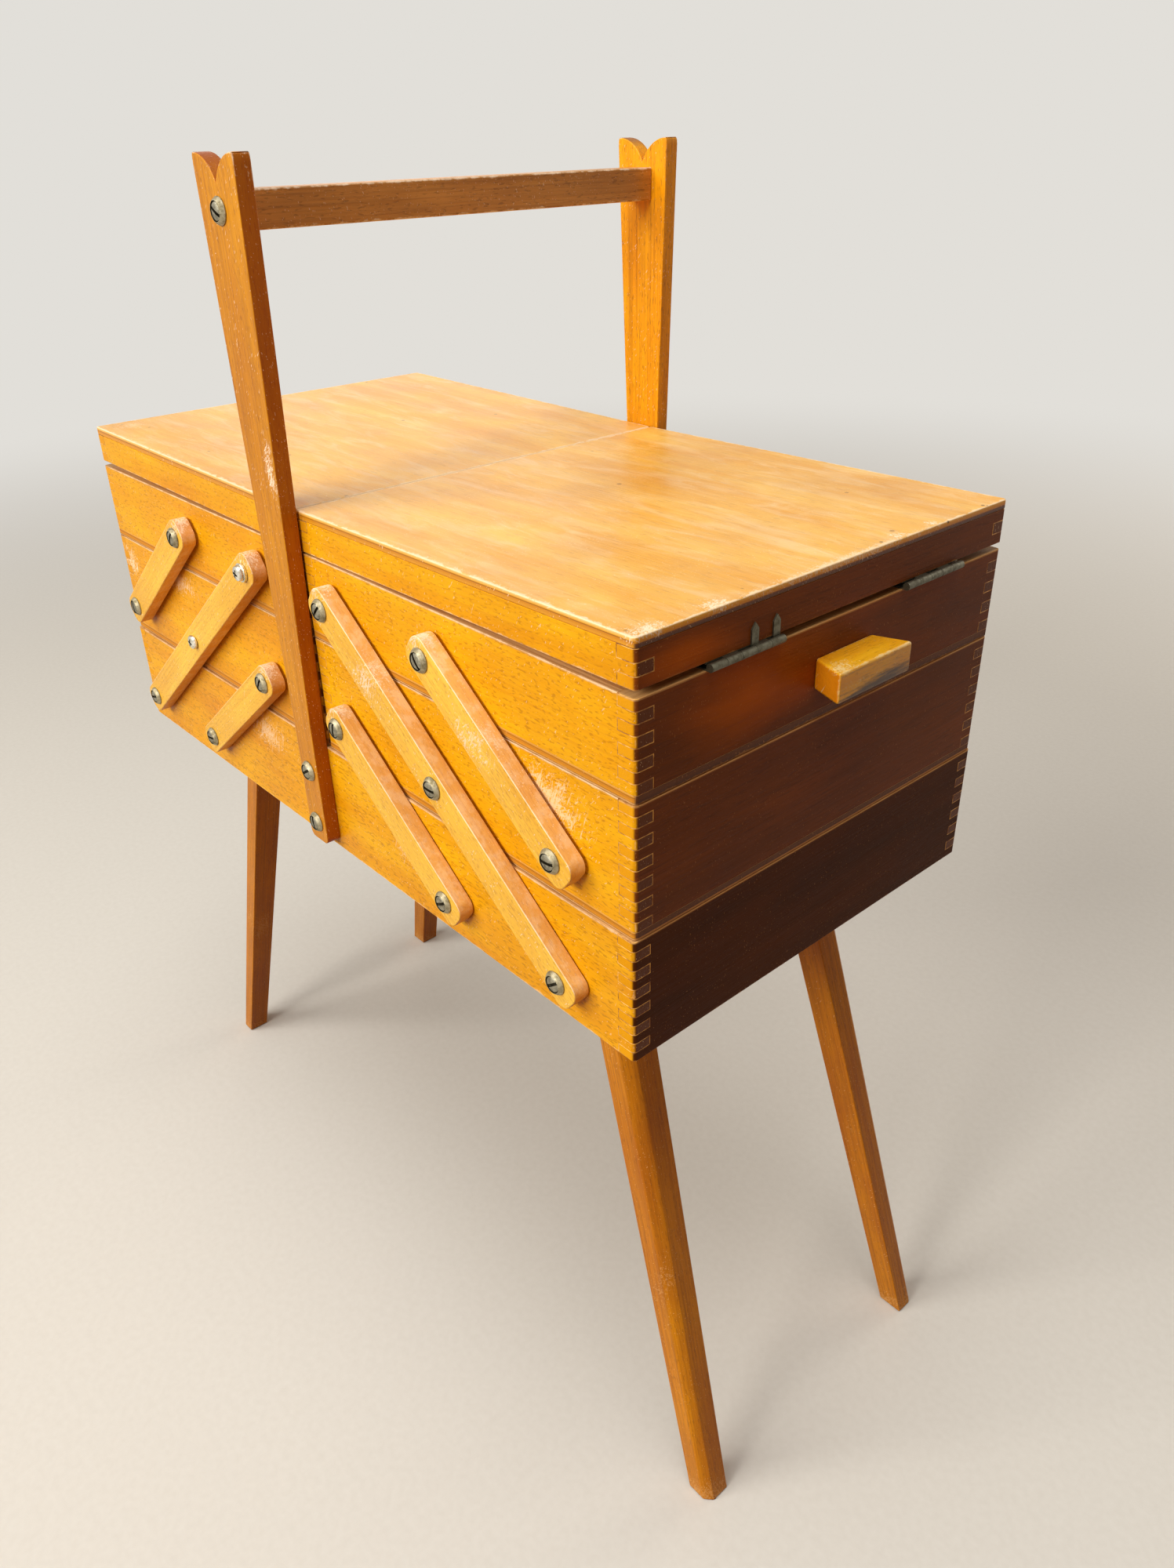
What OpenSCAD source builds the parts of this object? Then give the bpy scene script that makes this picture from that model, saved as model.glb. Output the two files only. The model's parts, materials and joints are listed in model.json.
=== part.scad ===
// Sewing carrier on four splayed legs. One base box, two middle trays and two top trays
// with lids swing apart on wooden arms, and a handle bar stands over the middle.
// X runs along the box, -Y is the front, Z = 0 is the surface it stands on.

/* [Box] */
// Length of the box over both ends
box_l = 434; // [360:1:520]
// Width of the base box
base_w = 218; // [180:1:262]
// How much narrower the trays and lids are than the base box
tray_inset = 2; // [1:0.5:4]
// Height of the base box sides
base_h = 57; // [48:0.5:70]
// Height of a middle tray over its bottom panel
mid_h = 56.5; // [47:0.5:68]
// Height of a top tray over its bottom panel
top_h = 39.5; // [33:0.5:48]
// Height of a lid over its panel
lid_h = 18.4; // [15:0.1:22]
// Thickness of the boards
board_t = 8.5; // [7:0.5:10.5]
// Thickness of the tray bottoms
ply_t = 3.5; // [3:0.5:5]
// Thickness of the lid panels
lid_ply_t = 4; // [3:0.5:5]
// Gap between one box and the next above it
stack_gap = 0.5; // [0.4:0.1:1]
// Place of the seam between the two halves
seam_x = 4; // [-6:0.5:6]
// Width of the seam
seam_gap = 0.8; // [0.6:0.1:2]
// Nominal height of one finger of the corner joints
finger_h = 4.4; // [3.5:0.1:6]
// Radius of the upright corners
corner_r = 2; // [1:0.5:3]

/* [Base bottom] */
// Thickness of the base bottom panel
bottom_t = 4; // [3:0.5:6]
// Depth of the grooves that hold the base bottom panel
groove_d = 4; // [3:0.5:5]
// Thickness of the cleats under the base bottom
cleat_t = 8; // [6:0.5:12]
// Width of a cleat
cleat_w = 34; // [28:1:44]

/* [Legs] */
// Height of the base box above the floor
leg_h = 288; // [240:1:345]
// Right leg centre in from the right end of the box, at its top
leg_right_x = 62; // [50:1:76]
// Left leg centre in from the left end of the box, at its top
leg_left_x = 55; // [45:1:68]
// Leg centre from the middle across the box, at its top
leg_top_y = 64; // [55:1:75]
// Leg centre out past the end of the box, at the floor
foot_x = 24; // [0:1:43]
// Leg centre from the middle across the box, at the floor
foot_y = 80.5; // [70:0.5:95]
// Thickness of a leg at its top
leg_top_s = 19; // [16:0.5:23]
// Thickness of a leg at the floor
foot_s = 13.5; // [11:0.5:16]

/* [Handle] */
// Place of the handle along the box
handle_x = -4; // [-6:0.5:6]
// Height of the handle above the base box bottom
handle_h = 309.5; // [262:0.5:370]
// Thickness of the uprights
upright_t = 7.5; // [6:0.5:9]
// Width of an upright at its top
upright_top_w = 34; // [28:0.5:41]
// Width of an upright at its foot
upright_foot_w = 16; // [14:0.5:20]
// Depth of the notch in an upright's top
notch_d = 10.3; // [8:0.1:12]
// Radius of the lobes beside the notch
lobe_r = 17.5; // [15:0.5:21]
// Height of the handle bar's section
bar_h = 14.5; // [12:0.5:18]
// Thickness of the handle bar's section
bar_t = 13.5; // [11:0.5:16]
// Centre of the handle bar below the handle's top
bar_drop = 20; // [18:0.5:26]

/* [Arms] */
// Width of an arm
arm_w = 16; // [13:0.5:19]
// Thickness of an arm
arm_t = 7.5; // [6:0.5:9]
// Gap between the arms and the base box
arm_gap = 0.4; // [0.3:0.1:1]
// Outermost pivots in from the end of a box whose handle stands in the middle
pivot_end = 32; // [26:0.5:39]
// Innermost pivots from the middle of the handle
pivot_inner = 35; // [28:0.5:42]
// Height of the lowest pivots above the base box bottom
pivot_z = 22.5; // [18:0.5:27]
// Rise from one row of pivots to the next
pivot_rise = 57; // [48:0.5:60]
// Arm past its upper pivot
arm_top_ext = 9; // [7:0.5:11]
// Arm past its lower pivot
arm_foot_ext = 11; // [9:0.5:13]

/* [Screws] */
// Diameter of the screw shanks
screw_d = 3.5; // [3:0.1:4]
// Diameter of the screw heads
head_d = 7; // [6:0.1:8]
// Diameter of the cup washers
cup_d = 10.5; // [9:0.1:12]
// Height of the cup washers
cup_h = 2; // [1.6:0.1:2.4]
// How far a screw bites into a board
bite = 7; // [5:0.5:7]
// Running clearance round a pivot screw, on the radius
pivot_run = 0.08; // [0.05:0.01:0.1]

/* [Pulls] */
// Length of a pull where it meets the tray
pull_back_l = 34; // [28:0.5:41]
// Length of a pull at its outer edge
pull_front_l = 45; // [37:0.5:54]
// How far a pull stands out
pull_d = 15.5; // [13:0.5:18]
// Height of a pull
pull_h = 12.6; // [10:0.1:15]
// Place of the pulls across the box
pull_y = 2; // [-3:0.5:3]

/* [Hinges] */
// Length of a hinge
hinge_l = 38; // [32:1:45]
// Hinge centres from the middle of the box
hinge_y = 56; // [47:1:67]
// Gap between tray and lid at the hinges
hinge_gap = 3; // [2.8:0.1:3.6]
// Gap between tray and lid at the seam
front_gap = 0.8; // [0.6:0.1:1.5]
// Thickness of a hinge leaf
leaf_t = 0.7; // [0.5:0.1:0.8]
// Width of a hinge leaf on the edge of the wood
leaf_w = 7; // [5:0.5:8]
// Diameter of the hinge barrels
barrel_d = 3.2; // [2.8:0.1:3.4]
// Diameter of the hinge pins
pin_d = 1.5; // [1.2:0.1:1.8]
// Length of the hinge prongs
prong_l = 8; // [6:0.5:9]
// Width of a hinge prong
prong_w = 3.6; // [3:0.1:4.5]

/* [Hidden] */
tray_w = base_w - tray_inset;
base_z = leg_h;
mid_z = base_z + base_h + stack_gap;
top_z = mid_z + mid_h + stack_gap;
tray_top = top_z + top_h;
end_x = box_l / 2;
floor_z = base_z + cleat_t;
base_in_z = floor_z + bottom_t;
corner_seg = 32;
fit = 0.05;

arm_y = base_w / 2 + arm_gap;
arm_face_y = arm_y + arm_t;
upright_face_y = base_w / 2 + upright_t;
tray_y = tray_w / 2;
pivot_pitch = (box_l / 2 - pivot_end - pivot_inner) / 2;
arm_angle = atan(pivot_pitch / pivot_rise);
arm_step = norm([pivot_pitch, pivot_rise]);
row_z = [base_z + pivot_z, base_z + pivot_z + pivot_rise, base_z + pivot_z + 2 * pivot_rise];
arm_end_r = arm_w * 0.36;

handle_z = base_z + handle_h;
bar_z = handle_z - bar_drop;
upright_z = base_z + 4;
upright_screw_z = [base_z + 15, base_z + 44];

cup_lift = 0.15;
cup_seat_r = head_d / 2 + fit;
head_rise = 0.6;
slot_w = 0.9;
slot_d = 1.1;
screw_r = screw_d / 2;
cone_z = cup_h - (head_d - screw_d) / 2;
bar_screw_l = 30;
pan_d = 7.4;
pan_h = 2.6;
pan_washer_d = 9;

barrel_r = barrel_d / 2;
hinge_z = hinge_gap / 2;
barrel_gap = 0.15;
axis_x = barrel_r + barrel_gap;
lid_z = tray_top + hinge_gap;
leaf_seat = 0.4;
prong_t = leaf_t;
prong_foot = 0.15;
prong_at = [5, 16.5];
knuckles = 5;
knuckle_l = hinge_l / knuckles;

leg_screw_l = 30;
pull_screw_y = 9;
pull_z = (top_z + tray_top) / 2;

honey = "#E69A1E";
amber = "#C97B1C";
pale = "#F0BE7A";
nickel = "#A9A99B";

// Everything on the left is drawn as on the right and mirrored.
// side is 1 for the right half and -1 for the left half.
module on_side(side) {
    if (side > 0) children();
    else mirror([1, 0, 0]) children();
}

// Inner end of a tray, and a pivot column, seen from the half's own side.
function inner_x(side) = side * seam_x + seam_gap / 2;
function pivot_x(side, column) = side * handle_x + pivot_inner + column * pivot_pitch;
function finger_n(h) = round(h / finger_h);

// Block with rounded upright corners, from x0 to x1 and centred across.
module rounded_block(x0, x1, w, h, r) {
    linear_extrude(h) union() {
        translate([x0 + r, -w / 2]) square([x1 - x0 - 2 * r, w]);
        translate([x0, -w / 2 + r]) square([x1 - x0, w - 2 * r]);
        for (x = [x0 + r, x1 - r], y = [-w / 2 + r, w / 2 - r]) translate([x, y]) circle(r, $fn = corner_seg);
    }
}

// Fingers at one corner stack: the end boards hold every second layer, counted from the top.
// The blocks run past the outer faces.
module finger_layers(x0, x1, w, h, of_ends) {
    n = finger_n(h);
    step = h / n;
    side = board_t + 1;
    for (i = [0 : n - 1]) {
        low = i == n - 1 ? -1 : h - (i + 1) * step;
        high = i == 0 ? h + 1 : h - i * step;
        if ((i % 2 == 0) == of_ends) {
            for (x = [x0 - 1, x1 - board_t], y = [-w / 2 - 1, w / 2 - board_t])
                translate([x, y, low]) cube([side, side, high - low]);
        }
    }
}

// Long side boards: sides is a list of -1 for the front and 1 for the rear.
module side_boards(x0, x1, w, h, sides) {
    for (s = sides) intersection() {
        rounded_block(x0, x1, w, h, corner_r);
        difference() {
            translate([x0, s > 0 ? w / 2 - board_t : -w / 2, 0]) cube([x1 - x0, board_t, h]);
            finger_layers(x0, x1, w, h, true);
        }
    }
}

// End boards: ends is a list of -1 for the low end and 1 for the high end.
module end_boards(x0, x1, w, h, ends) {
    for (s = ends) intersection() {
        rounded_block(x0, x1, w, h, corner_r);
        difference() {
            translate([s > 0 ? x1 - board_t : x0, -w / 2, 0]) cube([board_t, w, h]);
            finger_layers(x0, x1, w, h, false);
        }
    }
}

// Places children at a point on the front or rear, with local Z pointing out of the box.
module facing(sy, x, y, z) {
    translate([x, sy * y, z]) rotate([sy > 0 ? -90 : 90, 0, 0]) children();
}

// Countersunk cup washer whose flat rim starts just over the wood.
module cup_washer() {
    rotate_extrude($fn = 48) polygon([
        [screw_r + 2 * fit, cone_z + fit], [cup_seat_r, cup_h + fit], [cup_seat_r + 0.35, cup_h],
        [cup_d / 2 - 0.6, cup_h * 0.55], [cup_d / 2, cup_lift], [cup_d / 2 - 0.9, cup_lift],
        [screw_r + 1.1, cone_z - 0.15], [screw_r + 2 * fit, cone_z - 0.15]
    ]);
}

// Slotted countersunk screw with a raised head. Local Z = 0 is the face of the wood.
module slotted_screw(depth, slot_turn) {
    difference() {
        rotate_extrude($fn = 48) polygon([
            [0, -depth], [screw_r * 0.4, -depth + 0.6], [screw_r, -depth + 4], [screw_r, cone_z],
            [head_d / 2, cup_h], [head_d * 0.36, cup_h + head_rise * 0.6],
            [head_d * 0.2, cup_h + head_rise * 0.92], [0, cup_h + head_rise]
        ]);
        rotate([0, 0, slot_turn]) translate([-head_d, -slot_w / 2, cup_h + head_rise - slot_d])
            cube([2 * head_d, slot_w, slot_d + 1]);
    }
}

// Cross-recessed pan head screw that stands off by lift, with a loose flat washer when it does.
module pan_screw(depth, lift) {
    difference() {
        union() {
            rotate_extrude($fn = 48) polygon([
                [0, -depth], [screw_r * 0.4, -depth + 0.6], [screw_r, -depth + 4], [screw_r, lift],
                [pan_d / 2, lift], [pan_d / 2, lift + pan_h * 0.45], [pan_d * 0.36, lift + pan_h * 0.85],
                [pan_d * 0.2, lift + pan_h], [0, lift + pan_h]
            ]);
            if (lift > 0.5) rotate_extrude($fn = 48)
                polygon([[0, cup_lift], [pan_washer_d / 2, cup_lift], [pan_washer_d / 2, lift], [0, lift]]);
        }
        for (a = [45, 135]) rotate([0, 0, a]) translate([-1.9, -0.45, lift + pan_h - 1.4]) cube([3.8, 0.9, 2]);
    }
}

// Pilot hole for a screw that enters from the outside at local Z = 0.
module pilot(depth) {
    translate([0, 0, -depth]) cylinder(r = screw_r + fit, h = depth + 1, $fn = 32);
}

// Pivot screws of one box: columns along the half, at one row, on front and rear.
module pivots(side, row, columns, y) {
    for (c = columns, sy = [-1, 1]) on_side(side) facing(sy, pivot_x(side, c), y, row_z[row]) children();
}

// Base box
module base_cuts() {
    translate([-end_x + board_t - groove_d, -base_w / 2 + board_t - groove_d, floor_z])
        cube([box_l - 2 * (board_t - groove_d), base_w - 2 * (board_t - groove_d), bottom_t]);
    for (side = [1, -1]) pivots(side, 0, [1, 2], base_w / 2) pilot(bite);
    for (sy = [-1, 1], z = upright_screw_z) facing(sy, handle_x, base_w / 2, z) pilot(bite);
}

module base_side(sy) {
    color(honey) difference() {
        translate([0, 0, base_z]) side_boards(-end_x, end_x, base_w, base_h, [sy]);
        base_cuts();
    }
}

module base_end(sx) {
    color(amber) difference() {
        translate([0, 0, base_z]) end_boards(-end_x, end_x, base_w, base_h, [sx]);
        base_cuts();
    }
}

module base_front() base_side(-1);
module base_rear() base_side(1);
module base_left_end() base_end(-1);
module base_right_end() base_end(1);

module base_bottom() {
    color(pale) difference() {
        translate([-end_x + board_t - groove_d + fit, -base_w / 2 + board_t - groove_d + fit, floor_z])
            cube([box_l - 2 * (board_t - groove_d + fit), base_w - 2 * (board_t - groove_d + fit), bottom_t]);
        leg_screw_holes();
    }
}

module leg_cleats() {
    color(amber) difference() {
        for (sx = [-1, 1]) translate([sx * leg_x(sx) - cleat_w / 2, -base_w / 2 + board_t + fit, base_z])
            cube([cleat_w, base_w - 2 * (board_t + fit), cleat_t]);
        leg_screw_holes();
    }
}

// Legs
function leg_x(sx) = box_l / 2 - (sx > 0 ? leg_right_x : leg_left_x);

// Square section whose outermost corner is worked round, with a crease where the round starts.
module leg_section(s) {
    intersection() {
        square(s, center = true);
        translate([-0.2 * s, -0.2 * s]) circle(0.8 * s, $fn = corner_seg);
    }
}

module leg(sx, sy) {
    color(honey) mirror([sx < 0 ? 1 : 0, 0, 0]) mirror([0, sy < 0 ? 1 : 0, 0]) difference() {
        hull() {
            translate([leg_x(sx), leg_top_y, leg_h - 0.01]) linear_extrude(0.01) leg_section(leg_top_s);
            translate([box_l / 2 + foot_x, foot_y, 0]) linear_extrude(0.01) leg_section(foot_s);
        }
        translate([leg_x(sx), leg_top_y, base_in_z]) pilot(leg_screw_l);
    }
}

module front_left_leg() leg(-1, -1);
module front_right_leg() leg(1, -1);
module rear_left_leg() leg(-1, 1);
module rear_right_leg() leg(1, 1);

module at_legs() {
    for (sx = [-1, 1], sy = [-1, 1]) translate([sx * leg_x(sx), sy * leg_top_y, base_in_z]) children();
}

module leg_screw_holes() {
    at_legs() {
        pilot(leg_screw_l);
        translate([0, 0, -(head_d / 2 - screw_r) - fit])
            cylinder(r1 = screw_r + fit, r2 = head_d / 2 + 2 * fit, h = head_d / 2 - screw_r + 2 * fit, $fn = 48);
    }
}

module leg_screws() {
    color(nickel) at_legs() flat_screw(leg_screw_l - 0.5);
}

// Flat countersunk screw, flush with local Z = 0.
module flat_screw(depth) {
    difference() {
        rotate_extrude($fn = 48) polygon([
            [0, -depth], [screw_r * 0.4, -depth + 0.6], [screw_r, -depth + 4],
            [screw_r, screw_r - head_d / 2], [head_d / 2, 0], [0, 0]
        ]);
        translate([-head_d, -slot_w / 2, -slot_d]) cube([2 * head_d, slot_w, slot_d + 1]);
    }
}

// Handle
function arc(cx, cz, r, from, to, n) = [for (i = [0 : n]) let (a = from + (to - from) * i / n)
    [cx + r * cos(a), cz + r * sin(a)]];

// Half of an upright's outline, from its foot to its top.
function upright_half() = concat(
    arc(upright_foot_w / 2 - 4, upright_z + 4, 4, -70, 0, 6),
    [[upright_foot_w / 2, base_z + 72], [upright_top_w / 2, handle_z]]
);

// The notch lies between two lobes that curve down to a sharp cusp.
module upright_notch() {
    lobe_x = sqrt(2 * lobe_r * notch_d - notch_d * notch_d);
    difference() {
        translate([-lobe_x, handle_z - notch_d]) square([2 * lobe_x, notch_d + 1]);
        for (x = [-lobe_x, lobe_x]) translate([x, handle_z - lobe_r]) circle(lobe_r, $fn = 64);
    }
}

module upright(sy) {
    half = upright_half();
    mirrored = [for (i = [len(half) - 1 : -1 : 0]) [-half[i][0], half[i][1]]];
    color(honey) difference() {
        translate([handle_x, sy > 0 ? base_w / 2 + upright_t : -base_w / 2, 0])
            rotate([90, 0, 0]) linear_extrude(upright_t) difference() {
                polygon(concat(half, mirrored));
                upright_notch();
            }
        for (z = concat(upright_screw_z, [bar_z])) facing(sy, handle_x, upright_face_y, z) pilot(upright_t + 1);
    }
}

module front_upright() upright(-1);
module rear_upright() upright(1);

module handle_bar() {
    color(amber) difference() {
        translate([handle_x - bar_t / 2, -base_w / 2, bar_z - bar_h / 2]) cube([bar_t, base_w, bar_h]);
        for (sy = [-1, 1]) facing(sy, handle_x, upright_face_y, bar_z) pilot(bar_screw_l + 0.5);
    }
}

module handle_screws() {
    color(nickel) {
        for (sy = [-1, 1], z = upright_screw_z)
            facing(sy, handle_x, upright_face_y, z) slotted_screw(upright_t + bite - 0.5, 30 * sy + z);
        for (sy = [-1, 1]) facing(sy, handle_x, upright_face_y, bar_z) slotted_screw(bar_screw_l, 15);
    }
}

module base_pivot_screws() {
    color(nickel) for (side = [1, -1]) pivots(side, 0, [1, 2], arm_face_y)
        slotted_screw(arm_t + arm_gap + bite - 0.5, 35);
}

module base_cup_washers() {
    color(nickel) {
        for (side = [1, -1]) pivots(side, 0, [1, 2], arm_face_y) cup_washer();
        for (sy = [-1, 1], z = concat(upright_screw_z, [bar_z])) facing(sy, handle_x, upright_face_y, z) cup_washer();
    }
}

// Arms
// Flat bar along local X from its lower pivot, with rounded corners.
module arm_outline(steps) {
    x0 = -arm_foot_ext;
    x1 = steps * arm_step + arm_top_ext;
    r = arm_end_r;
    union() {
        translate([x0 + r, -arm_w / 2]) square([x1 - x0 - 2 * r, arm_w]);
        translate([x0, -arm_w / 2 + r]) square([x1 - x0, arm_w - 2 * r]);
        for (x = [x0 + r, x1 - r], y = [-arm_w / 2 + r, arm_w / 2 - r]) translate([x, y]) circle(r, $fn = corner_seg);
    }
}

// A pair of arms, front and rear, from the pivot in a column and row, over a number of steps.
module arm_pair(side, column, row, steps) {
    for (sy = [-1, 1]) on_side(side)
        translate([pivot_x(side, column), sy > 0 ? arm_y + arm_t : -arm_y, row_z[row]])
            rotate([90, 0, 0]) rotate([0, 0, 90 + arm_angle]) difference() {
                linear_extrude(arm_t) arm_outline(steps);
                for (i = [0 : steps]) translate([i * arm_step, 0, -1])
                    cylinder(r = screw_r + pivot_run, h = arm_t + 2, $fn = 48);
            }
}

module right_long_arms() color(honey) arm_pair(1, 2, 0, 2);
module left_long_arms() color(honey) arm_pair(-1, 2, 0, 2);
module right_lower_arms() color(honey) arm_pair(1, 1, 0, 1);
module left_lower_arms() color(honey) arm_pair(-1, 1, 0, 1);
module right_upper_arms() color(honey) arm_pair(1, 2, 1, 1);
module left_upper_arms() color(honey) arm_pair(-1, 2, 1, 1);

// Trays
module tray_cuts(side, row, columns) {
    pivots(side, row, columns, tray_y) pilot(bite);
}

module tray_sides(side, z, h, row, columns) {
    color(honey) difference() {
        on_side(side) translate([0, 0, z + ply_t]) side_boards(inner_x(side), end_x, tray_w, h - ply_t, [-1, 1]);
        tray_cuts(side, row, columns);
    }
}

module tray_bottom(side, z) {
    color(pale) on_side(side) translate([0, 0, z]) rounded_block(inner_x(side), end_x, tray_w, ply_t, corner_r);
}

module tray_screws(side, row, columns) {
    color(nickel) pivots(side, row, columns, arm_face_y)
        slotted_screw(arm_face_y - tray_y + bite - 0.5, 50);
}

module tray_washers(side, row, columns) {
    color(nickel) pivots(side, row, columns, arm_face_y) cup_washer();
}

module mid_ends(side) {
    color(amber) on_side(side) translate([0, 0, mid_z + ply_t])
        end_boards(inner_x(side), end_x, tray_w, mid_h - ply_t, [-1, 1]);
}

module top_ends(side) {
    color(amber) difference() {
        on_side(side) translate([0, 0, top_z + ply_t])
            end_boards(inner_x(side), end_x, tray_w, top_h - ply_t, [-1, 1]);
        on_side(side) pull_holes();
        on_side(side) translate([end_x, 0, tray_top]) prong_slots(-1);
    }
}

module right_mid_sides() tray_sides(1, mid_z, mid_h, 1, [0, 1, 2]);
module left_mid_sides() tray_sides(-1, mid_z, mid_h, 1, [0, 1, 2]);
module right_mid_ends() mid_ends(1);
module left_mid_ends() mid_ends(-1);
module right_mid_bottom() tray_bottom(1, mid_z);
module left_mid_bottom() tray_bottom(-1, mid_z);
module right_mid_screws() tray_screws(1, 1, [0, 1, 2]);
module right_mid_washers() tray_washers(1, 1, [0, 1, 2]);

// The left front long arm hangs on two later cross-recessed screws: one here, one on the top tray.
module left_screws(row, columns, column, lift) {
    depth = arm_face_y - tray_y + bite - 0.5;
    color(nickel) {
        for (c = columns, sy = [-1, 1]) on_side(-1) facing(sy, pivot_x(-1, c), arm_face_y, row_z[row])
            if (c == column && sy < 0) pan_screw(depth, lift);
            else slotted_screw(depth, 50);
    }
}

module left_washers(row, columns, column) {
    color(nickel) for (c = columns, sy = [-1, 1]) on_side(-1)
        facing(sy, pivot_x(-1, c), arm_face_y, row_z[row]) if (c != column || sy > 0) cup_washer();
}

module left_mid_screws() left_screws(1, [0, 1, 2], 1, 0.3);
module left_mid_washers() left_washers(1, [0, 1, 2], 1);
module right_top_sides() tray_sides(1, top_z, top_h, 2, [0, 1]);
module left_top_sides() tray_sides(-1, top_z, top_h, 2, [0, 1]);
module right_top_ends() top_ends(1);
module left_top_ends() top_ends(-1);
module right_top_bottom() tray_bottom(1, top_z);
module left_top_bottom() tray_bottom(-1, top_z);
module right_top_screws() tray_screws(1, 2, [0, 1]);
module right_top_washers() tray_washers(1, 2, [0, 1]);
module left_top_screws() left_screws(2, [0, 1], 0, 1.6);
module left_top_washers() left_washers(2, [0, 1], 0);

// Pulls
module pull(side) {
    color(honey) difference() {
        on_side(side) translate([end_x, pull_y, pull_z - pull_h / 2]) linear_extrude(pull_h) polygon([
            [0, -pull_back_l / 2], [pull_d, -pull_front_l / 2], [pull_d, pull_front_l / 2], [0, pull_back_l / 2]
        ]);
        on_side(side) pull_holes();
    }
}

// Pull screws enter from inside the tray, with local Z pointing in.
module at_pull_screws() {
    for (y = [-pull_screw_y, pull_screw_y]) translate([end_x - board_t, pull_y + y, pull_z])
        rotate([0, -90, 0]) children();
}

module pull_holes() {
    at_pull_screws() {
        pilot(board_t + pull_d - 3);
        translate([0, 0, screw_r - head_d / 2 - fit])
            cylinder(r1 = screw_r + fit, r2 = head_d / 2 + 2 * fit, h = head_d / 2 - screw_r + 2 * fit, $fn = 48);
    }
}

module right_pull() pull(1);
module left_pull() pull(-1);
module pull_screws_right() color(nickel) at_pull_screws() flat_screw(board_t + pull_d - 4);
module pull_screws_left() color(nickel) on_side(-1) at_pull_screws() flat_screw(board_t + pull_d - 4);

// Hinges, drawn at the outer top edge of a tray, with the barrel outside the end board.
module hinge_prong(up, x) {
    translate([x, 0, up * hinge_z]) rotate([90, 0, 90]) linear_extrude(prong_t) polygon([
        [-prong_w / 2, 0], [prong_w / 2, 0], [prong_w / 2, up * prong_l * 0.7], [0, up * prong_l],
        [-prong_w / 2, up * prong_l * 0.7]
    ]);
}

// up is 1 for the lid's leaf and -1 for the tray's leaf. prong_x is where its prongs stand.
module hinge_leaf(up, leaf_x, prong_x, tilt) {
    leaf_z = up > 0 ? hinge_z - leaf_t : -hinge_z;
    translate([0, 0, up * hinge_z]) rotate([0, -tilt, 0]) translate([0, 0, -up * hinge_z]) {
        translate([leaf_x - leaf_w, -hinge_l / 2, leaf_z]) cube([leaf_w, hinge_l, leaf_t]);
        for (y = prong_at) translate([0, up * y, 0]) {
            hinge_prong(up, prong_x);
            if (prong_x > 0) translate([leaf_x - 0.5, -prong_w / 2, hinge_z - prong_foot])
                cube([prong_x + prong_t - leaf_x + 0.5, prong_w, prong_foot]);
        }
    }
    for (i = [0 : knuckles - 1]) if ((i % 2 == 0) == (up < 0)) {
        y0 = -hinge_l / 2 + i * knuckle_l + (i > 0 ? 0.1 : 0);
        y1 = -hinge_l / 2 + (i + 1) * knuckle_l - (i < knuckles - 1 ? 0.1 : 0);
        difference() {
            union() {
                translate([axis_x, y1, 0]) rotate([90, 0, 0]) cylinder(r = barrel_r, h = y1 - y0, $fn = 32);
                translate([leaf_x - 0.1, y0, leaf_z]) cube([axis_x - leaf_x + 0.1, y1 - y0, leaf_t]);
            }
            translate([axis_x, y1 + 1, 0]) rotate([90, 0, 0])
                cylinder(r = pin_d / 2 + pivot_run / 2, h = y1 - y0 + 2, $fn = 32);
        }
    }
}

module at_hinges() {
    for (y = [-hinge_y, hinge_y]) translate([end_x, y, tray_top + hinge_z]) children();
}

// Slots for the prongs: up is -1 in the tray's end board and 1 in the lid's.
module prong_slots(up) {
    for (hy = [-hinge_y, hinge_y], y = prong_at)
        translate([-board_t / 2 - fit, hy + up * y - prong_w / 2 - fit, up > 0 ? -fit : -prong_l - fit])
            cube([prong_t + 2 * fit, prong_w + 2 * fit, prong_l + 2 * fit]);
}

module tray_leaves(side) {
    color(nickel) on_side(side) at_hinges() hinge_leaf(-1, -leaf_seat, -board_t / 2, 0);
}

module hinge_pins(side) {
    color(nickel) on_side(side) at_hinges() translate([axis_x, hinge_l / 2, 0]) rotate([90, 0, 0])
        cylinder(d = pin_d, h = hinge_l, $fn = 32);
}

module right_tray_leaves() tray_leaves(1);
module left_tray_leaves() tray_leaves(-1);
module right_hinge_pins() hinge_pins(1);
module left_hinge_pins() hinge_pins(-1);

// Lids, tilted a little because the hinge leaves hold their outer ends up.
function lid_tilt(side) = asin((hinge_gap - front_gap) / (end_x - inner_x(side)));

module in_lid(side) {
    on_side(side) translate([end_x, 0, lid_z]) rotate([0, -lid_tilt(side), 0]) translate([-end_x, 0, 0]) children();
}

module lid_sides(side) {
    color(honey) in_lid(side) side_boards(inner_x(side), end_x, tray_w, lid_h - lid_ply_t, [-1, 1]);
}

module lid_ends(side) {
    color(amber) difference() {
        in_lid(side) end_boards(inner_x(side), end_x, tray_w, lid_h - lid_ply_t, [-1, 1]);
        in_lid(side) translate([end_x, 0, 0]) prong_slots(1);
    }
}

module lid_panel(side) {
    color(pale) in_lid(side) translate([0, 0, lid_h - lid_ply_t])
        rounded_block(inner_x(side), end_x, tray_w, lid_ply_t, corner_r);
}

// The near hinge of the right lid has pulled out: its prongs stand in front of the lid's end.
module lid_leaves(side, pulled_out) {
    color(nickel) on_side(side) for (hy = [-hinge_y, hinge_y]) translate([end_x, hy, tray_top + hinge_z])
        if (pulled_out && hy < 0) hinge_leaf(1, fit, fit, lid_tilt(side));
        else hinge_leaf(1, -leaf_seat, -board_t / 2, lid_tilt(side));
}

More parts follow.
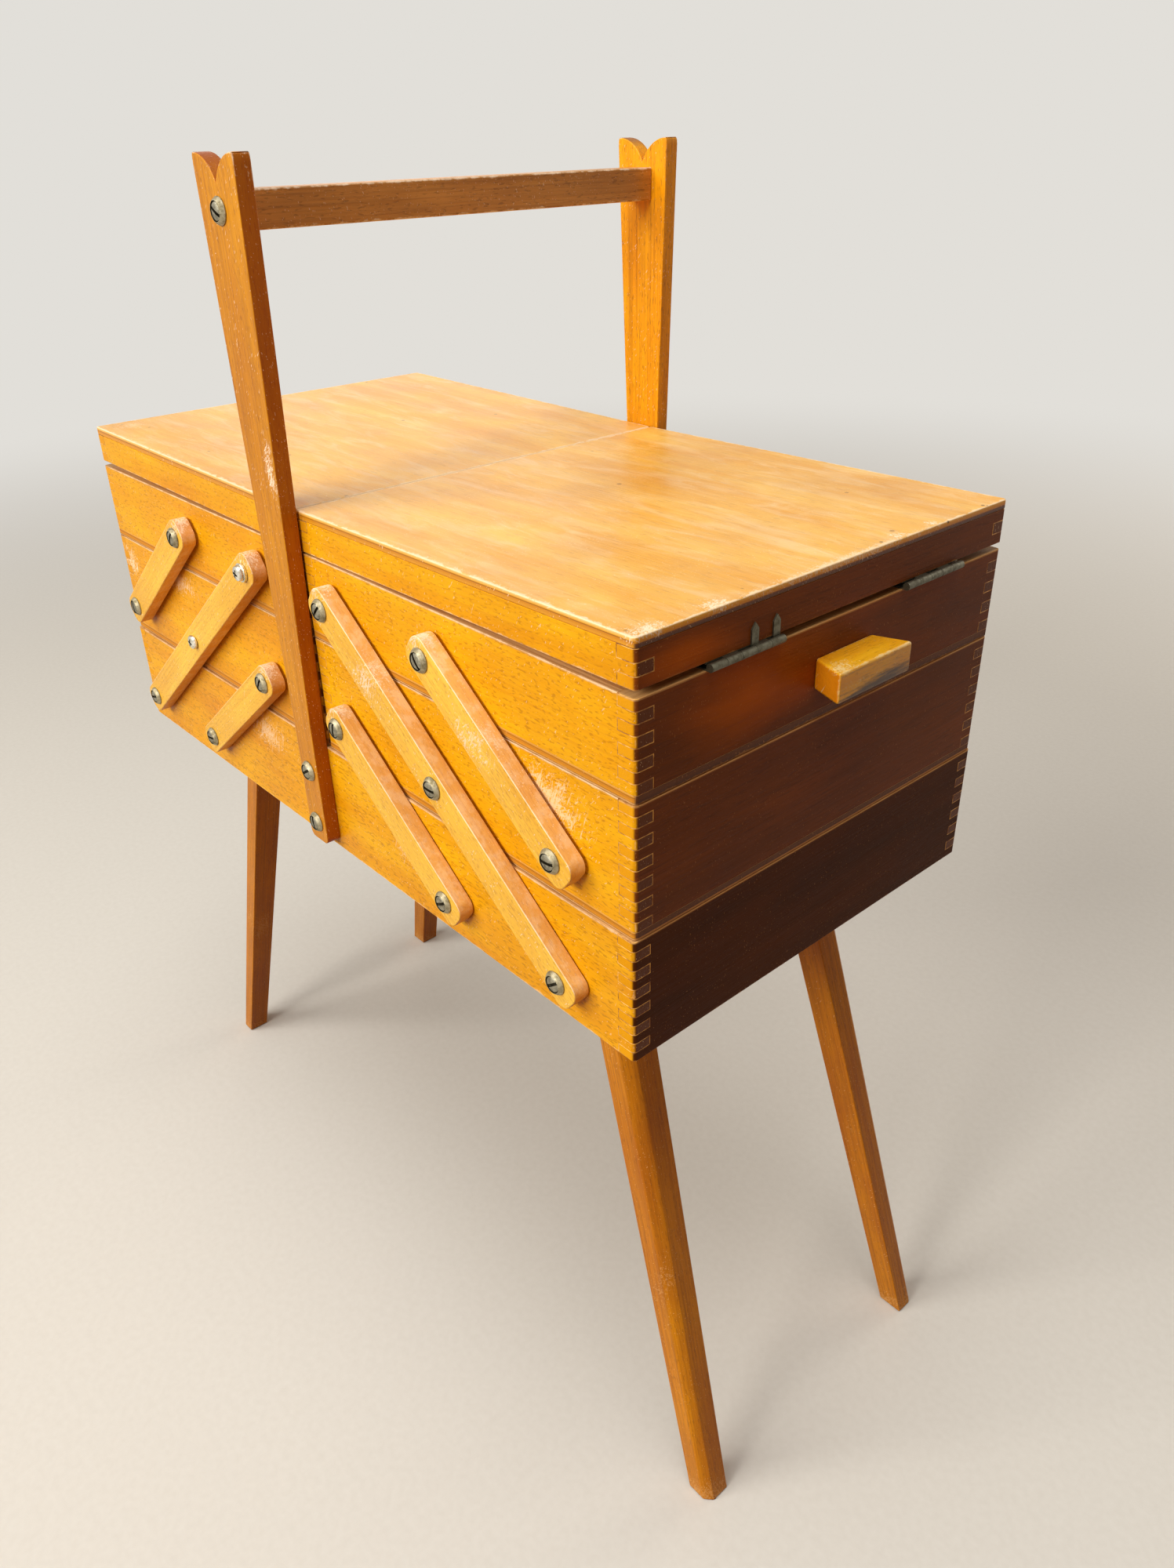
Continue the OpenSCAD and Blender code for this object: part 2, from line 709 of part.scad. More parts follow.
module right_lid_sides() lid_sides(1);
module left_lid_sides() lid_sides(-1);
module right_lid_ends() lid_ends(1);
module left_lid_ends() lid_ends(-1);
module right_lid_panel() lid_panel(1);
module left_lid_panel() lid_panel(-1);
module right_lid_leaves() lid_leaves(1, true);
module left_lid_leaves() lid_leaves(-1, false);

base_front();
base_rear();
base_left_end();
base_right_end();
base_bottom();
leg_cleats();
front_left_leg();
front_right_leg();
rear_left_leg();
rear_right_leg();
leg_screws();
front_upright();
rear_upright();
handle_bar();
handle_screws();
base_pivot_screws();
base_cup_washers();
right_long_arms();
left_long_arms();
right_lower_arms();
left_lower_arms();
right_upper_arms();
left_upper_arms();
right_mid_sides();
right_mid_ends();
right_mid_bottom();
right_mid_screws();
right_mid_washers();
left_mid_sides();
left_mid_ends();
left_mid_bottom();
left_mid_screws();
left_mid_washers();
right_top_sides();
right_top_ends();
right_top_bottom();
right_top_screws();
right_top_washers();
left_top_sides();
left_top_ends();
left_top_bottom();
left_top_screws();
left_top_washers();
right_pull();
left_pull();
pull_screws_right();
pull_screws_left();
right_tray_leaves();
left_tray_leaves();
right_hinge_pins();
left_hinge_pins();
right_lid_sides();
right_lid_ends();
right_lid_panel();
right_lid_leaves();
left_lid_sides();
left_lid_ends();
left_lid_panel();
left_lid_leaves();
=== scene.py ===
import json
import math
import bpy
import bmesh
from mathutils import Matrix, Vector


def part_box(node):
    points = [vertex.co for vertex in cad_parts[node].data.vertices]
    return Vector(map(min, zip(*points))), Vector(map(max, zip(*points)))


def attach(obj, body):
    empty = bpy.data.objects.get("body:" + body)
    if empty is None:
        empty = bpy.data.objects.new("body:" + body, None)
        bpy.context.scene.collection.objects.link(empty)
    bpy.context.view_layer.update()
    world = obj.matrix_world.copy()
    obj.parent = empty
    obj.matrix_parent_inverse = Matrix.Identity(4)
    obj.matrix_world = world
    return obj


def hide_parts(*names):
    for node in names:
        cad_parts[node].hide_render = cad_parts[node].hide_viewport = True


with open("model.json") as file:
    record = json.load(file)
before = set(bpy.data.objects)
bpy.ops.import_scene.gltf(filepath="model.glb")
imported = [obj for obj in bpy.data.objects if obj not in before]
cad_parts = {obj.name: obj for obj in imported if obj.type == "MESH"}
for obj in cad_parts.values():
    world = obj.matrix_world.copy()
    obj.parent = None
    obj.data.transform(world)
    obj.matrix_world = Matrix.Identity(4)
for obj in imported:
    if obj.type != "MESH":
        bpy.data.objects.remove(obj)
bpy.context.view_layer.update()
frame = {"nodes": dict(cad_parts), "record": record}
mm = 0.001
signs = (-1, 1)                                     # left and right, or front and rear
rgba = {"out": 2, "data_type": "RGBA"}              # a Mix node for colours
smooth = {"interpolation_type": "SMOOTHSTEP"}
print("frame loaded:", len(frame["nodes"]), "nodes")


def linearColor(code):
    parts = [int(code[i:i + 2], 16) / 255 for i in (1, 3, 5)]
    return [p / 12.92 if p <= 0.04045 else ((p + 0.055) / 1.055) ** 2.4 for p in parts] + [1]


def addNode(tree, kind, inputs=None, out=0, stops=None, **settings):
    node = tree.nodes.new(kind)
    for key, value in settings.items():
        setattr(node, key, value)
    for key, value in (inputs or {}).items():
        if isinstance(value, bpy.types.NodeSocket):
            tree.links.new(value, node.inputs[key])
        else:
            node.inputs[key].default_value = linearColor(value) if str(value)[0] == "#" else value
    for i, (place, code) in enumerate(stops or []):
        ramp = node.color_ramp.elements
        stop = ramp[i] if i < 2 else ramp.new(place)
        stop.position, stop.color = place, linearColor(code)
    return node if out is None or not len(node.outputs) else node.outputs[out]


def emptyMaterial(name):
    material = bpy.data.materials.new(name)
    material.use_nodes = True
    material.node_tree.nodes.clear()
    return material, material.node_tree


def newObject(name, data):
    obj = bpy.data.objects.new(name, data)
    bpy.context.scene.collection.objects.link(obj)
    return obj


# Sizes shared by several pieces, in millimetres, as the frame has them.
carrier = {
    "endX": 217,          # half the box's length
    "baseY": 109,         # half the base's width
    "trayY": 108,         # half the trays' width
    "handleX": -4,        # the handle stands left of the middle
    "seamX": 4,           # the lids part right of the middle
    "seamGap": 0.4,       # from the seam to each half
    "armFaceY": 116.9,    # outer faces of the arms
    "uprightFaceY": 116.5,
    "pivotInner": 35,
    "pivotPitch": 75,
    "rows": (310.5, 367.5, 424.5),
    "barZ": 577.5,
    "uprightScrewZ": (303, 332),
    "levels": {"base": (288, 345), "mid": (349, 402), "top": (406, 442), "lid": (445, 463.4)},
    "trayPly": 3.5,       # the trays' plywood bottoms, under their boards
    "lidPly": 4,          # the lids' plywood tops
    "lidLean": 0.0103,    # the lids drop this much per millimetre towards the seam
}

# What a wood finish has unless its own dictionary says otherwise; sizes in millimetres.
plainLacquer = {
    "shift": (0, 0, 0),            # moves the grain, so that no two boards match
    "streaks": 0.3,
    "flecks": 0.5,
    "fleckSize": (3.4, 0.75),      # long and wide
    "fleckFrom": 0.58,             # lower means more flecks
    "clouds": 0.7,
    "bare": "#F6DDBE",             # rubbed wood
    "bounds": None,                # the box whose arrises are rubbed
    "edgeReach": 1.8,
    "edgeWear": 0.8,
    "wearUp": False,               # arrises rubbed on their upper faces only
    "lean": False,                 # heights follow the leaning lids
    "scratches": 0.5,
    "knocks": 0.5,
    "patches": [],                 # rubbed: centre, radii, strength
    "paintedGlows": [],                    # painted light, a warm glow: centre, radii, strength
    "darkSmears": [],                   # darker: centre, radii, strength
    "sideToneAndShade": None,
    "sideWear": 0.85,
    "paleArrisAndHighlight": 0,
    "washesAndSheen": 0,
    "rimZ": None,                  # height of a bare rim
    "plyZ": None,                  # low and high side of a plywood edge
    "rough": 0.36,
    "bump": 0.25,
    "sheen": 0.3,
    "coat": 0.04,
}


# Noise whose patches are so many millimetres long and wide.
def longNoise(tree, spot, size, settings):
    scale = (1 / size[0], 1 / size[1], 1 / size[1])
    stretch = addNode(tree, "ShaderNodeVectorMath", {0: spot, 1: scale}, operation="MULTIPLY")
    return addNode(tree, "ShaderNodeTexNoise", {0: stretch, "Scale": 1.0, **settings})


# How far a place is from a patch's centre, where 1 is the patch's edge.
def patchReach(tree, spot, centre, radii):
    off = addNode(tree, "ShaderNodeVectorMath", {0: spot, 1: centre}, operation="SUBTRACT")
    off = addNode(tree, "ShaderNodeVectorMath", {0: off, 1: radii}, operation="DIVIDE")
    return addNode(tree, "ShaderNodeVectorMath", {0: off}, out=1, operation="LENGTH")


# The size of a vector along one axis, whichever way it points.
def sizeAlong(tree, vector, axis):
    part = addNode(tree, "ShaderNodeSeparateXYZ", {0: vector}, out=axis)
    return addNode(tree, "ShaderNodeMath", {0: part}, operation="ABSOLUTE")


# The larger of two values; the first may be missing.
def stronger(tree, first, second):
    if first is None:
        return second
    return addNode(tree, "ShaderNodeMath", {0: first, 1: second}, operation="MAXIMUM")


# What the layers of a wood finish read: places in millimetres, the grain, the way a face looks.
def woodPlaces(tree, look):
    spot = addNode(tree, "ShaderNodeTexCoord", out=3)
    spot = addNode(tree, "ShaderNodeVectorMath", {0: spot, "Scale": 1 / mm}, operation="SCALE")
    turn = Vector(look["grain"]).rotation_difference(Vector((1, 0, 0))).to_euler()
    grain = addNode(tree, "ShaderNodeMapping", {0: spot, "Location": look["shift"], "Rotation": turn})
    x, y, z = addNode(tree, "ShaderNodeSeparateXYZ", {0: spot}, out=None).outputs
    if look["lean"]:
        drop = addNode(tree, "ShaderNodeMath", {0: x}, operation="ABSOLUTE")
        drop = addNode(tree, "ShaderNodeMath", {0: drop, 1: -carrier["endX"]}, operation="ADD")
        drop = addNode(tree, "ShaderNodeMath", {0: drop, 1: carrier["lidLean"]}, operation="MULTIPLY")
        z = addNode(tree, "ShaderNodeMath", {0: z, 1: drop}, operation="SUBTRACT")
    streak = longNoise(tree, grain, (70, 1.3), {"Detail": 3.0, "Roughness": 0.6, "Distortion": 0.2})
    fleck = longNoise(tree, grain, look["fleckSize"], {"Detail": 1.0, "Roughness": 0.5})
    return {
        "spot": spot, "grain": grain, "xyz": (x, y, z), "z": z,
        "facing": addNode(tree, "ShaderNodeNewGeometry", out=1),
        "ragged": addNode(tree, "ShaderNodeTexNoise", {
            0: spot, "Scale": 0.16, "Detail": 6.0, "Roughness": 0.68}),
        "tone": longNoise(tree, grain, (110, 17), {"Detail": 3.0, "Roughness": 0.55, "Distortion": 0.4}),
        "streak": addNode(tree, "ShaderNodeMapRange", {0: streak, 1: 0.4, 2: 0.7}),
        "fleck": addNode(tree, "ShaderNodeMapRange", {
            0: fleck, 1: look["fleckFrom"], 2: look["fleckFrom"] + 0.14}, **smooth),
        "cloud": addNode(tree, "ShaderNodeTexNoise", {
            0: spot, "Scale": 0.02, "Detail": 3.0, "Roughness": 0.6}),
    }


# The wood itself: slow changes of tone, streaks about 1 mm apart, beech flecks and darker cut ends; on the
# box's boards the cut-end colour also paints shade and light by which way a face turns.
def grainColor(tree, look, at):
    stops = [(0.33, look["dark"]), (0.66, look["light"])]
    color = addNode(tree, "ShaderNodeValToRGB", {0: at["tone"]}, stops=stops)
    amount = addNode(tree, "ShaderNodeMath", {0: at["streak"], 1: look["streaks"]}, operation="MULTIPLY")
    color = addNode(tree, "ShaderNodeMix", {0: amount, 6: color, 7: look["streak"]}, **rgba)
    amount = addNode(tree, "ShaderNodeMath", {0: at["fleck"], 1: look["flecks"]}, operation="MULTIPLY")
    color = addNode(tree, "ShaderNodeMix", {0: amount, 6: color, 7: look["fleck"]}, **rgba)

    # cut ends soak up more lacquer; on the box's boards this colour is also painted shade on faces turned to
    # the ends and painted light on faces turned to the front and rear
    way = Vector(look["grain"]).normalized()
    cut = addNode(tree, "ShaderNodeVectorMath", {0: at["facing"], 1: way}, out=1, operation="DOT_PRODUCT")
    cut = addNode(tree, "ShaderNodeMath", {0: cut}, operation="ABSOLUTE")
    cut = addNode(tree, "ShaderNodeMapRange", {0: cut, 1: 0.75, 2: 0.95})
    return addNode(tree, "ShaderNodeMix", {0: cut, 6: color, 7: look.get("endGrainAndPaintedLightTone", look["streak"])}, **rgba)


# Faces turned off the front and rear: a pinkish tan on the arms; on the front upright a red-brown that is
# painted shade.
def sideFaces(tree, look, at, color):
    across = sizeAlong(tree, at["facing"], 1)
    across = addNode(tree, "ShaderNodeMapRange", {0: across, 1: 0.75, 2: 0.35, 4: 0.55})
    worn = addNode(tree, "ShaderNodeMapRange", {
        0: at["ragged"], 1: 0.44, 2: 0.6, 4: look["sideWear"]}, **smooth)
    tan = addNode(tree, "ShaderNodeMix", {0: worn, 6: look["sideToneAndShade"], 7: "#FDE8D2"}, **rgba)
    return addNode(tree, "ShaderNodeMix", {0: across, 6: color, 7: tan}, **rgba)


# Painted light: warm orange glows on patches of the dark ends.
def glowThrough(tree, look, at, color):
    for centre, radii, strength in look["paintedGlows"]:
        away = patchReach(tree, at["spot"], centre, radii)
        warm = addNode(tree, "ShaderNodeMapRange", {0: away, 1: 1.0, 2: 0.0, 4: strength}, **smooth)
        warm = addNode(tree, "ShaderNodeMath", {0: warm, 1: at["tone"]}, operation="MULTIPLY")
        color = addNode(tree, "ShaderNodeMix", {0: warm, 6: color, 7: "#D8700C"}, **rgba)
    return color


# Long pale washes, partly where a lid's lacquer has thinned and partly painted sheen, and a few small dark
# dents.
def lidWashes(tree, look, at, color):
    washAndSheen = longNoise(tree, at["grain"], (48, 11), {"Detail": 6.0, "Roughness": 0.68, "Distortion": 1.0})
    washAndSheen = addNode(tree, "ShaderNodeMapRange", {0: washAndSheen, 1: 0.48, 2: 0.68, 4: look["washesAndSheen"]})
    color = addNode(tree, "ShaderNodeMix", {0: washAndSheen, 6: color, 7: "#FCDCAA"}, **rgba)
    dent = addNode(tree, "ShaderNodeTexVoronoi", {0: at["spot"], "Scale": 0.034})
    dent = addNode(tree, "ShaderNodeMapRange", {0: dent, 1: 0.045, 2: 0.03, 4: 0.6})
    return addNode(tree, "ShaderNodeMix", {0: dent, 6: color, 7: "#8E5C22"}, **rgba)


# Dark specks along a lid's outer end.
def endSpecks(tree, at, color):
    speck = addNode(tree, "ShaderNodeTexVoronoi", {0: at["spot"], "Scale": 0.13})
    speck = addNode(tree, "ShaderNodeMapRange", {0: speck, 1: 0.13, 2: 0.08})
    edge = addNode(tree, "ShaderNodeMapRange", {
        0: sizeAlong(tree, at["spot"], 0), 1: carrier["endX"] - 9, 2: carrier["endX"] - 5, 4: 0.75})
    speck = addNode(tree, "ShaderNodeMath", {0: speck, 1: edge}, operation="MULTIPLY")
    return addNode(tree, "ShaderNodeMix", {0: speck, 6: color, 7: "#3A220C"}, **rgba)


# Arrises of the box that bounds the piece, where the second nearest pair of its faces is near.
def rubbedArrises(tree, look, at):
    near = []
    for place, low, high in zip(at["xyz"], *look["bounds"]):
        fromLow = addNode(tree, "ShaderNodeMath", {0: place, 1: low}, operation="SUBTRACT")
        fromHigh = addNode(tree, "ShaderNodeMath", {0: high, 1: place}, operation="SUBTRACT")
        near.append(addNode(tree, "ShaderNodeMath", {0: fromLow, 1: fromHigh}, operation="MINIMUM"))
    small = addNode(tree, "ShaderNodeMath", {0: near[0], 1: near[1]}, operation="MINIMUM")
    large = addNode(tree, "ShaderNodeMath", {0: near[0], 1: near[1]}, operation="MAXIMUM")
    large = addNode(tree, "ShaderNodeMath", {0: large, 1: near[2]}, operation="MINIMUM")
    second = addNode(tree, "ShaderNodeMath", {0: small, 1: large}, operation="MAXIMUM")
    reach = addNode(tree, "ShaderNodeMapRange", {
        0: at["ragged"], 1: 0.3, 2: 0.75, 3: 0.0, 4: look["edgeReach"]})
    rub = addNode(tree, "ShaderNodeMath", {0: reach, 1: second}, operation="SUBTRACT")
    rub = addNode(tree, "ShaderNodeMapRange", {0: rub, 1: 0.0, 2: 0.7, 4: look["edgeWear"]}, **smooth)
    if look["wearUp"]:
        upward = addNode(tree, "ShaderNodeSeparateXYZ", {0: at["facing"]}, out=2)
        upward = addNode(tree, "ShaderNodeMapRange", {0: upward, 1: 0.2, 2: 0.6})
        rub = addNode(tree, "ShaderNodeMath", {0: rub, 1: upward}, operation="MULTIPLY")
    return rub


# Fine fibres that cross one another, as rubbing leaves them.
def crossingFibres(tree, at):
    fibres = None
    for turn, seed in (((0.2, 0.5, 0.4), 0), ((0.9, -0.6, 1.3), 40), ((-0.4, 1.2, -0.3), 90)):
        crossing = addNode(tree, "ShaderNodeMapping", {
            0: at["spot"], "Rotation": turn, "Location": (seed, seed, 0)})
        fibre = longNoise(tree, crossing, (12.5, 1 / 1.1), {
            "Detail": 2.0, "Roughness": 0.6, "Distortion": 0.3})
        fibres = stronger(tree, fibres, fibre)
    fibres = addNode(tree, "ShaderNodeMath", {0: at["ragged"], 1: 0.35, 2: fibres}, operation="MULTIPLY_ADD")
    return addNode(tree, "ShaderNodeMath", {0: fibres, 1: -0.2}, operation="ADD")


# The upper arris in front and rear, rubbed pale and partly a painted highlight, where the normal turns from
# one face to the other.
def upperArris(tree, look, at):
    flat = sizeAlong(tree, at["facing"], 1)
    flat = addNode(tree, "ShaderNodeMath", {0: flat, 1: 0.6}, operation="SUBTRACT")
    flat = addNode(tree, "ShaderNodeMath", {0: flat}, operation="ABSOLUTE")
    flat = addNode(tree, "ShaderNodeMapRange", {0: flat, 1: 0.38, 2: 0.24, 4: look["paleArrisAndHighlight"]})
    upward = addNode(tree, "ShaderNodeSeparateXYZ", {0: at["facing"]}, out=2)
    upward = addNode(tree, "ShaderNodeMapRange", {0: upward, 1: 0.1, 2: 0.35})
    flat = addNode(tree, "ShaderNodeMath", {0: flat, 1: upward}, operation="MULTIPLY")
    worn = addNode(tree, "ShaderNodeMapRange", {0: at["ragged"], 1: 0.36, 2: 0.5, 3: 0.35})
    return addNode(tree, "ShaderNodeMath", {0: flat, 1: worn}, operation="MULTIPLY")


# A few thin scratches and knocks anywhere.
def thinMarks(tree, look, at):
    turned = addNode(tree, "ShaderNodeMapping", {0: at["spot"], "Rotation": (0.3, 0.9, 0.5)})
    scratch = longNoise(tree, turned, (26, 1 / 1.9), {"Detail": 0.0})
    scratch = addNode(tree, "ShaderNodeMapRange", {0: scratch, 1: 0.77, 2: 0.8, 4: look["scratches"]})
    knock = addNode(tree, "ShaderNodeTexNoise", {
        0: at["spot"], "Scale": 0.42, "Detail": 2.0, "Roughness": 0.7})
    knock = addNode(tree, "ShaderNodeMapRange", {0: knock, 1: 0.735, 2: 0.77, 4: look["knocks"]})
    return stronger(tree, scratch, knock)


# Where the lacquer is rubbed off, from 0 to 1.
def rubbedPlaces(tree, look, at):
    rub = rubbedArrises(tree, look, at) if look["bounds"] else None
    fibres = crossingFibres(tree, at) if look["patches"] else None
    for centre, radii, strength in look["patches"]:
        away = patchReach(tree, at["spot"], centre, radii)
        outside = addNode(tree, "ShaderNodeMapRange", {0: away, 1: 0.1, 2: 1.0, 3: 0.0, 4: 0.3})
        patch = addNode(tree, "ShaderNodeMath", {0: fibres, 1: outside}, operation="SUBTRACT")
        patch = addNode(tree, "ShaderNodeMapRange", {0: patch, 1: 0.4, 2: 0.56, 4: strength}, **smooth)
        rub = stronger(tree, rub, patch)
    if look["paleArrisAndHighlight"]:
        rub = stronger(tree, rub, upperArris(tree, look, at))
    return stronger(tree, rub, thinMarks(tree, look, at))


# The bare rim on top of the trays' boards, from 0.9 to 0.3 mm below their height.
def bareRim(tree, look, at, color):
    rim = addNode(tree, "ShaderNodeMapRange", {0: at["z"], 1: look["rimZ"] - 0.9, 2: look["rimZ"] - 0.3})
    bare = addNode(tree, "ShaderNodeMix", {0: at["streak"], 6: "#DDAE70", 7: "#B98044"}, **rgba)
    return addNode(tree, "ShaderNodeMix", {0: rim, 6: color, 7: bare}, **rgba)


# The layered edge of plywood, darker on the box's ends as painted shade.
def plyEdge(tree, look, at, color):
    layer = addNode(tree, "ShaderNodeMapRange", {0: at["z"], 1: look["plyZ"][0], 2: look["plyZ"][1]})
    layers = addNode(tree, "ShaderNodeValToRGB", {0: layer}, stops=look["plies"])
    paintedShadeLayers = addNode(tree, "ShaderNodeValToRGB", {0: layer}, stops=look["shadedEndPlies"])
    atEnd = addNode(tree, "ShaderNodeMapRange", {0: sizeAlong(tree, at["facing"], 0), 1: 0.5, 2: 0.8})
    layers = addNode(tree, "ShaderNodeMix", {0: atEnd, 6: layers, 7: paintedShadeLayers}, **rgba)
    side = addNode(tree, "ShaderNodeMapRange", {0: sizeAlong(tree, at["facing"], 2), 1: 0.75, 2: 0.45})
    return addNode(tree, "ShaderNodeMix", {0: side, 6: color, 7: layers}, **rgba)


# Dark brown smeared along the grain over one region, darker towards its middle.
def grimySmear(tree, look, at, color):
    for centre, radii, strength in look["darkSmears"]:
        away = patchReach(tree, at["spot"], centre, radii)
        inside = addNode(tree, "ShaderNodeMapRange", {0: away, 1: 1.0, 2: 0.3})
        smear = longNoise(tree, at["grain"], (14, 1.6), {"Detail": 4.0, "Roughness": 0.65})
        darkAmount = addNode(tree, "ShaderNodeMath", {0: inside, 1: smear}, operation="ADD")
        darkAmount = addNode(tree, "ShaderNodeMapRange", {0: darkAmount, 1: 0.72, 2: 1.15, 4: strength}, **smooth)
        color = addNode(tree, "ShaderNodeMix", {0: darkAmount, 6: color, 7: "#3A1F0C"}, **rgba)
    return color


# Beech under an old honey lacquer: short dark flecks along the grain, faint streaks, pale rubbed arrises.
def lacqueredWood(name, ownLook):
    look = dict(plainLacquer, **ownLook)
    material, tree = emptyMaterial(name)
    at = woodPlaces(tree, look)
    color = grainColor(tree, look, at)
    if look["sideToneAndShade"]:
        color = sideFaces(tree, look, at, color)
    color = glowThrough(tree, look, at, color)
    if look["washesAndSheen"]:
        color = lidWashes(tree, look, at, color)

    # clouds in the lacquer, some 50 mm across
    tint = addNode(tree, "ShaderNodeValToRGB", {0: at["cloud"]}, stops=[(0.3, "#E8DACA"), (0.7, "#FFFFFF")])
    color = addNode(tree, "ShaderNodeMix", {
        0: look["clouds"], 6: color, 7: tint}, blend_type="MULTIPLY", **rgba)

    rub = rubbedPlaces(tree, look, at)
    if look["rimZ"]:
        color = bareRim(tree, look, at, color)
    if look["plyZ"]:
        color = plyEdge(tree, look, at, color)
    color = addNode(tree, "ShaderNodeMix", {0: rub, 6: color, 7: look["bare"]}, **rgba)
    if look["washesAndSheen"]:
        color = endSpecks(tree, at, color)
    color = grimySmear(tree, look, at, color)

    rough = addNode(tree, "ShaderNodeMapRange", {
        0: at["cloud"], 1: 0.3, 2: 0.7, 3: look["rough"], 4: look["rough"] + 0.08})
    rough = addNode(tree, "ShaderNodeMath", {0: rub, 1: 0.3, 2: rough}, operation="MULTIPLY_ADD")
    height = addNode(tree, "ShaderNodeMath", {
        0: at["fleck"], 1: -0.5, 2: at["streak"]}, operation="MULTIPLY_ADD")
    height = addNode(tree, "ShaderNodeMath", {0: rub, 1: -0.8, 2: height}, operation="MULTIPLY_ADD")
    bump = addNode(tree, "ShaderNodeBump", {
        "Height": height, "Strength": look["bump"], "Distance": 0.25 * mm})
    shader = addNode(tree, "ShaderNodeBsdfPrincipled", {
        "Base Color": color, "Roughness": rough, "Normal": bump, "IOR": 1.5,
        "Specular IOR Level": look["sheen"], "Coat Weight": look["coat"], "Coat Roughness": 0.22})
    addNode(tree, "ShaderNodeOutputMaterial", {0: shader})
    return material


# The glue lines of the finger joints: dried glue and lacquer, pale in places, dark in others.
def jointLine():
    material, tree = emptyMaterial("jointLine")
    spot = addNode(tree, "ShaderNodeTexCoord", out=3)
    patchy = addNode(tree, "ShaderNodeTexNoise", {0: spot, "Scale": 260.0, "Detail": 3.0, "Roughness": 0.6})
    color = addNode(tree, "ShaderNodeValToRGB", {0: patchy}, stops=[(0.4, "#9A5C14"), (0.62, "#F0B85C")])
    shader = addNode(tree, "ShaderNodeBsdfPrincipled", {"Base Color": color, "Roughness": 0.5, "IOR": 1.5})
    addNode(tree, "ShaderNodeOutputMaterial", {0: shader})
    return material


# Dull nickel and zinc: grey with a green-yellow cast, darker film in blotches, fine rubbing lines.
def dullMetal(name, look):
    material, tree = emptyMaterial(name)
    spot = addNode(tree, "ShaderNodeTexCoord", out=3)
    blotch = addNode(tree, "ShaderNodeTexNoise", {0: spot, "Scale": 420.0, "Detail": 4.0, "Roughness": 0.65})
    stops = [(0.36, look["film"]), (0.6, look["metal"])]
    color = addNode(tree, "ShaderNodeValToRGB", {0: blotch}, stops=stops)
    fine = addNode(tree, "ShaderNodeTexNoise", {0: spot, "Scale": 2600.0, "Detail": 2.0})
    rough = addNode(tree, "ShaderNodeMapRange", {
        0: blotch, 1: 0.35, 2: 0.65, 3: look["rough"] + 0.16, 4: look["rough"]})
    bump = addNode(tree, "ShaderNodeBump", {"Height": fine, "Strength": 0.2, "Distance": 0.08 * mm})
    shader = addNode(tree, "ShaderNodeBsdfPrincipled", {
        "Base Color": color, "Metallic": 1.0, "Roughness": rough, "Normal": bump})
    addNode(tree, "ShaderNodeOutputMaterial", {0: shader})
    return material


# Wood finishes; every hex value is the lacquer's colour in plain light, except the painted shade and painted
# light said below.
# frontHoney's dark cut-end colour is painted shade on the faces turned to the box's ends.
frontHoney = {
    "grain": (1, 0, 0), "light": "#F5B712", "dark": "#E89F06", "streak": "#D08A08", "fleck": "#A4660A",
    "flecks": 0.46, "fleckSize": (3.2, 1.0), "fleckFrom": 0.54, "endGrainAndPaintedLightTone": "#6A380E", "bare": "#F4D6AC",
    "edgeReach": 1.5, "edgeWear": 0.6, "sheen": 0.14, "coat": 0.0,
}
# Painted shade: the end boards' browns, rubbed colour too, stand in for the shade on the box's ends; their
# honey cut-end colour is painted light on faces turned to the front and rear.
endShadeBrown = {
    "grain": (0, 1, 0), "light": "#86481A", "dark": "#6E3A12", "streak": "#562A0A", "fleck": "#4E280D",
    "flecks": 0.35, "fleckSize": (9, 0.8), "endGrainAndPaintedLightTone": "#E8A414", "bare": "#C89058", "scratches": 0.35,
    "knocks": 0.3, "edgeReach": 1.2, "edgeWear": 0.6, "sheen": 0.08, "coat": 0.0,
}
# darker still: painted shade on the base's ends
baseEndShadeBrown = dict(endShadeBrown, light="#5C3010", dark="#4A260A", sheen=0.04)
lidPeach = {
    "grain": (1, 0, 0), "light": "#F9C45A", "dark": "#EFAC3A", "streak": "#FBD190", "fleck": "#C48A44",
    "flecks": 0.3, "streaks": 0.22, "fleckSize": (7, 1.0), "clouds": 0.9, "coat": 0.05, "washesAndSheen": 0.5,
    "bare": "#FBE3C0", "edgeReach": 3.0, "edgeWear": 0.7, "wearUp": True,
}
armHoney = {
    "light": "#FCCF50", "dark": "#F4BC3A", "streak": "#D89A34", "fleck": "#B4762E", "flecks": 0.42,
    "streaks": 0.5, "fleckSize": (2.6, 0.65), "fleckFrom": 0.55, "sideToneAndShade": "#EFB47A", "sideWear": 0.6,
    "paleArrisAndHighlight": 0.75, "scratches": 0.7, "knocks": 0.6, "sheen": 0.2,
}
legHoney = {
    "light": "#D68A0A", "dark": "#BC6E08", "streak": "#8C4E08", "fleck": "#6F3E10", "flecks": 0.35,
    "streaks": 0.5, "fleckSize": (4, 0.7), "scratches": 0.6, "knocks": 0.2, "sheen": 0.2, "bare": "#E0B070",
}
uprightHoney = {
    "grain": (0, 0, 1), "light": "#DE9812", "dark": "#CC840E", "streak": "#9C5E0C", "fleck": "#8A4C12",
    "streaks": 0.45, "fleckSize": (3.5, 0.6), "sheen": 0.2,
}
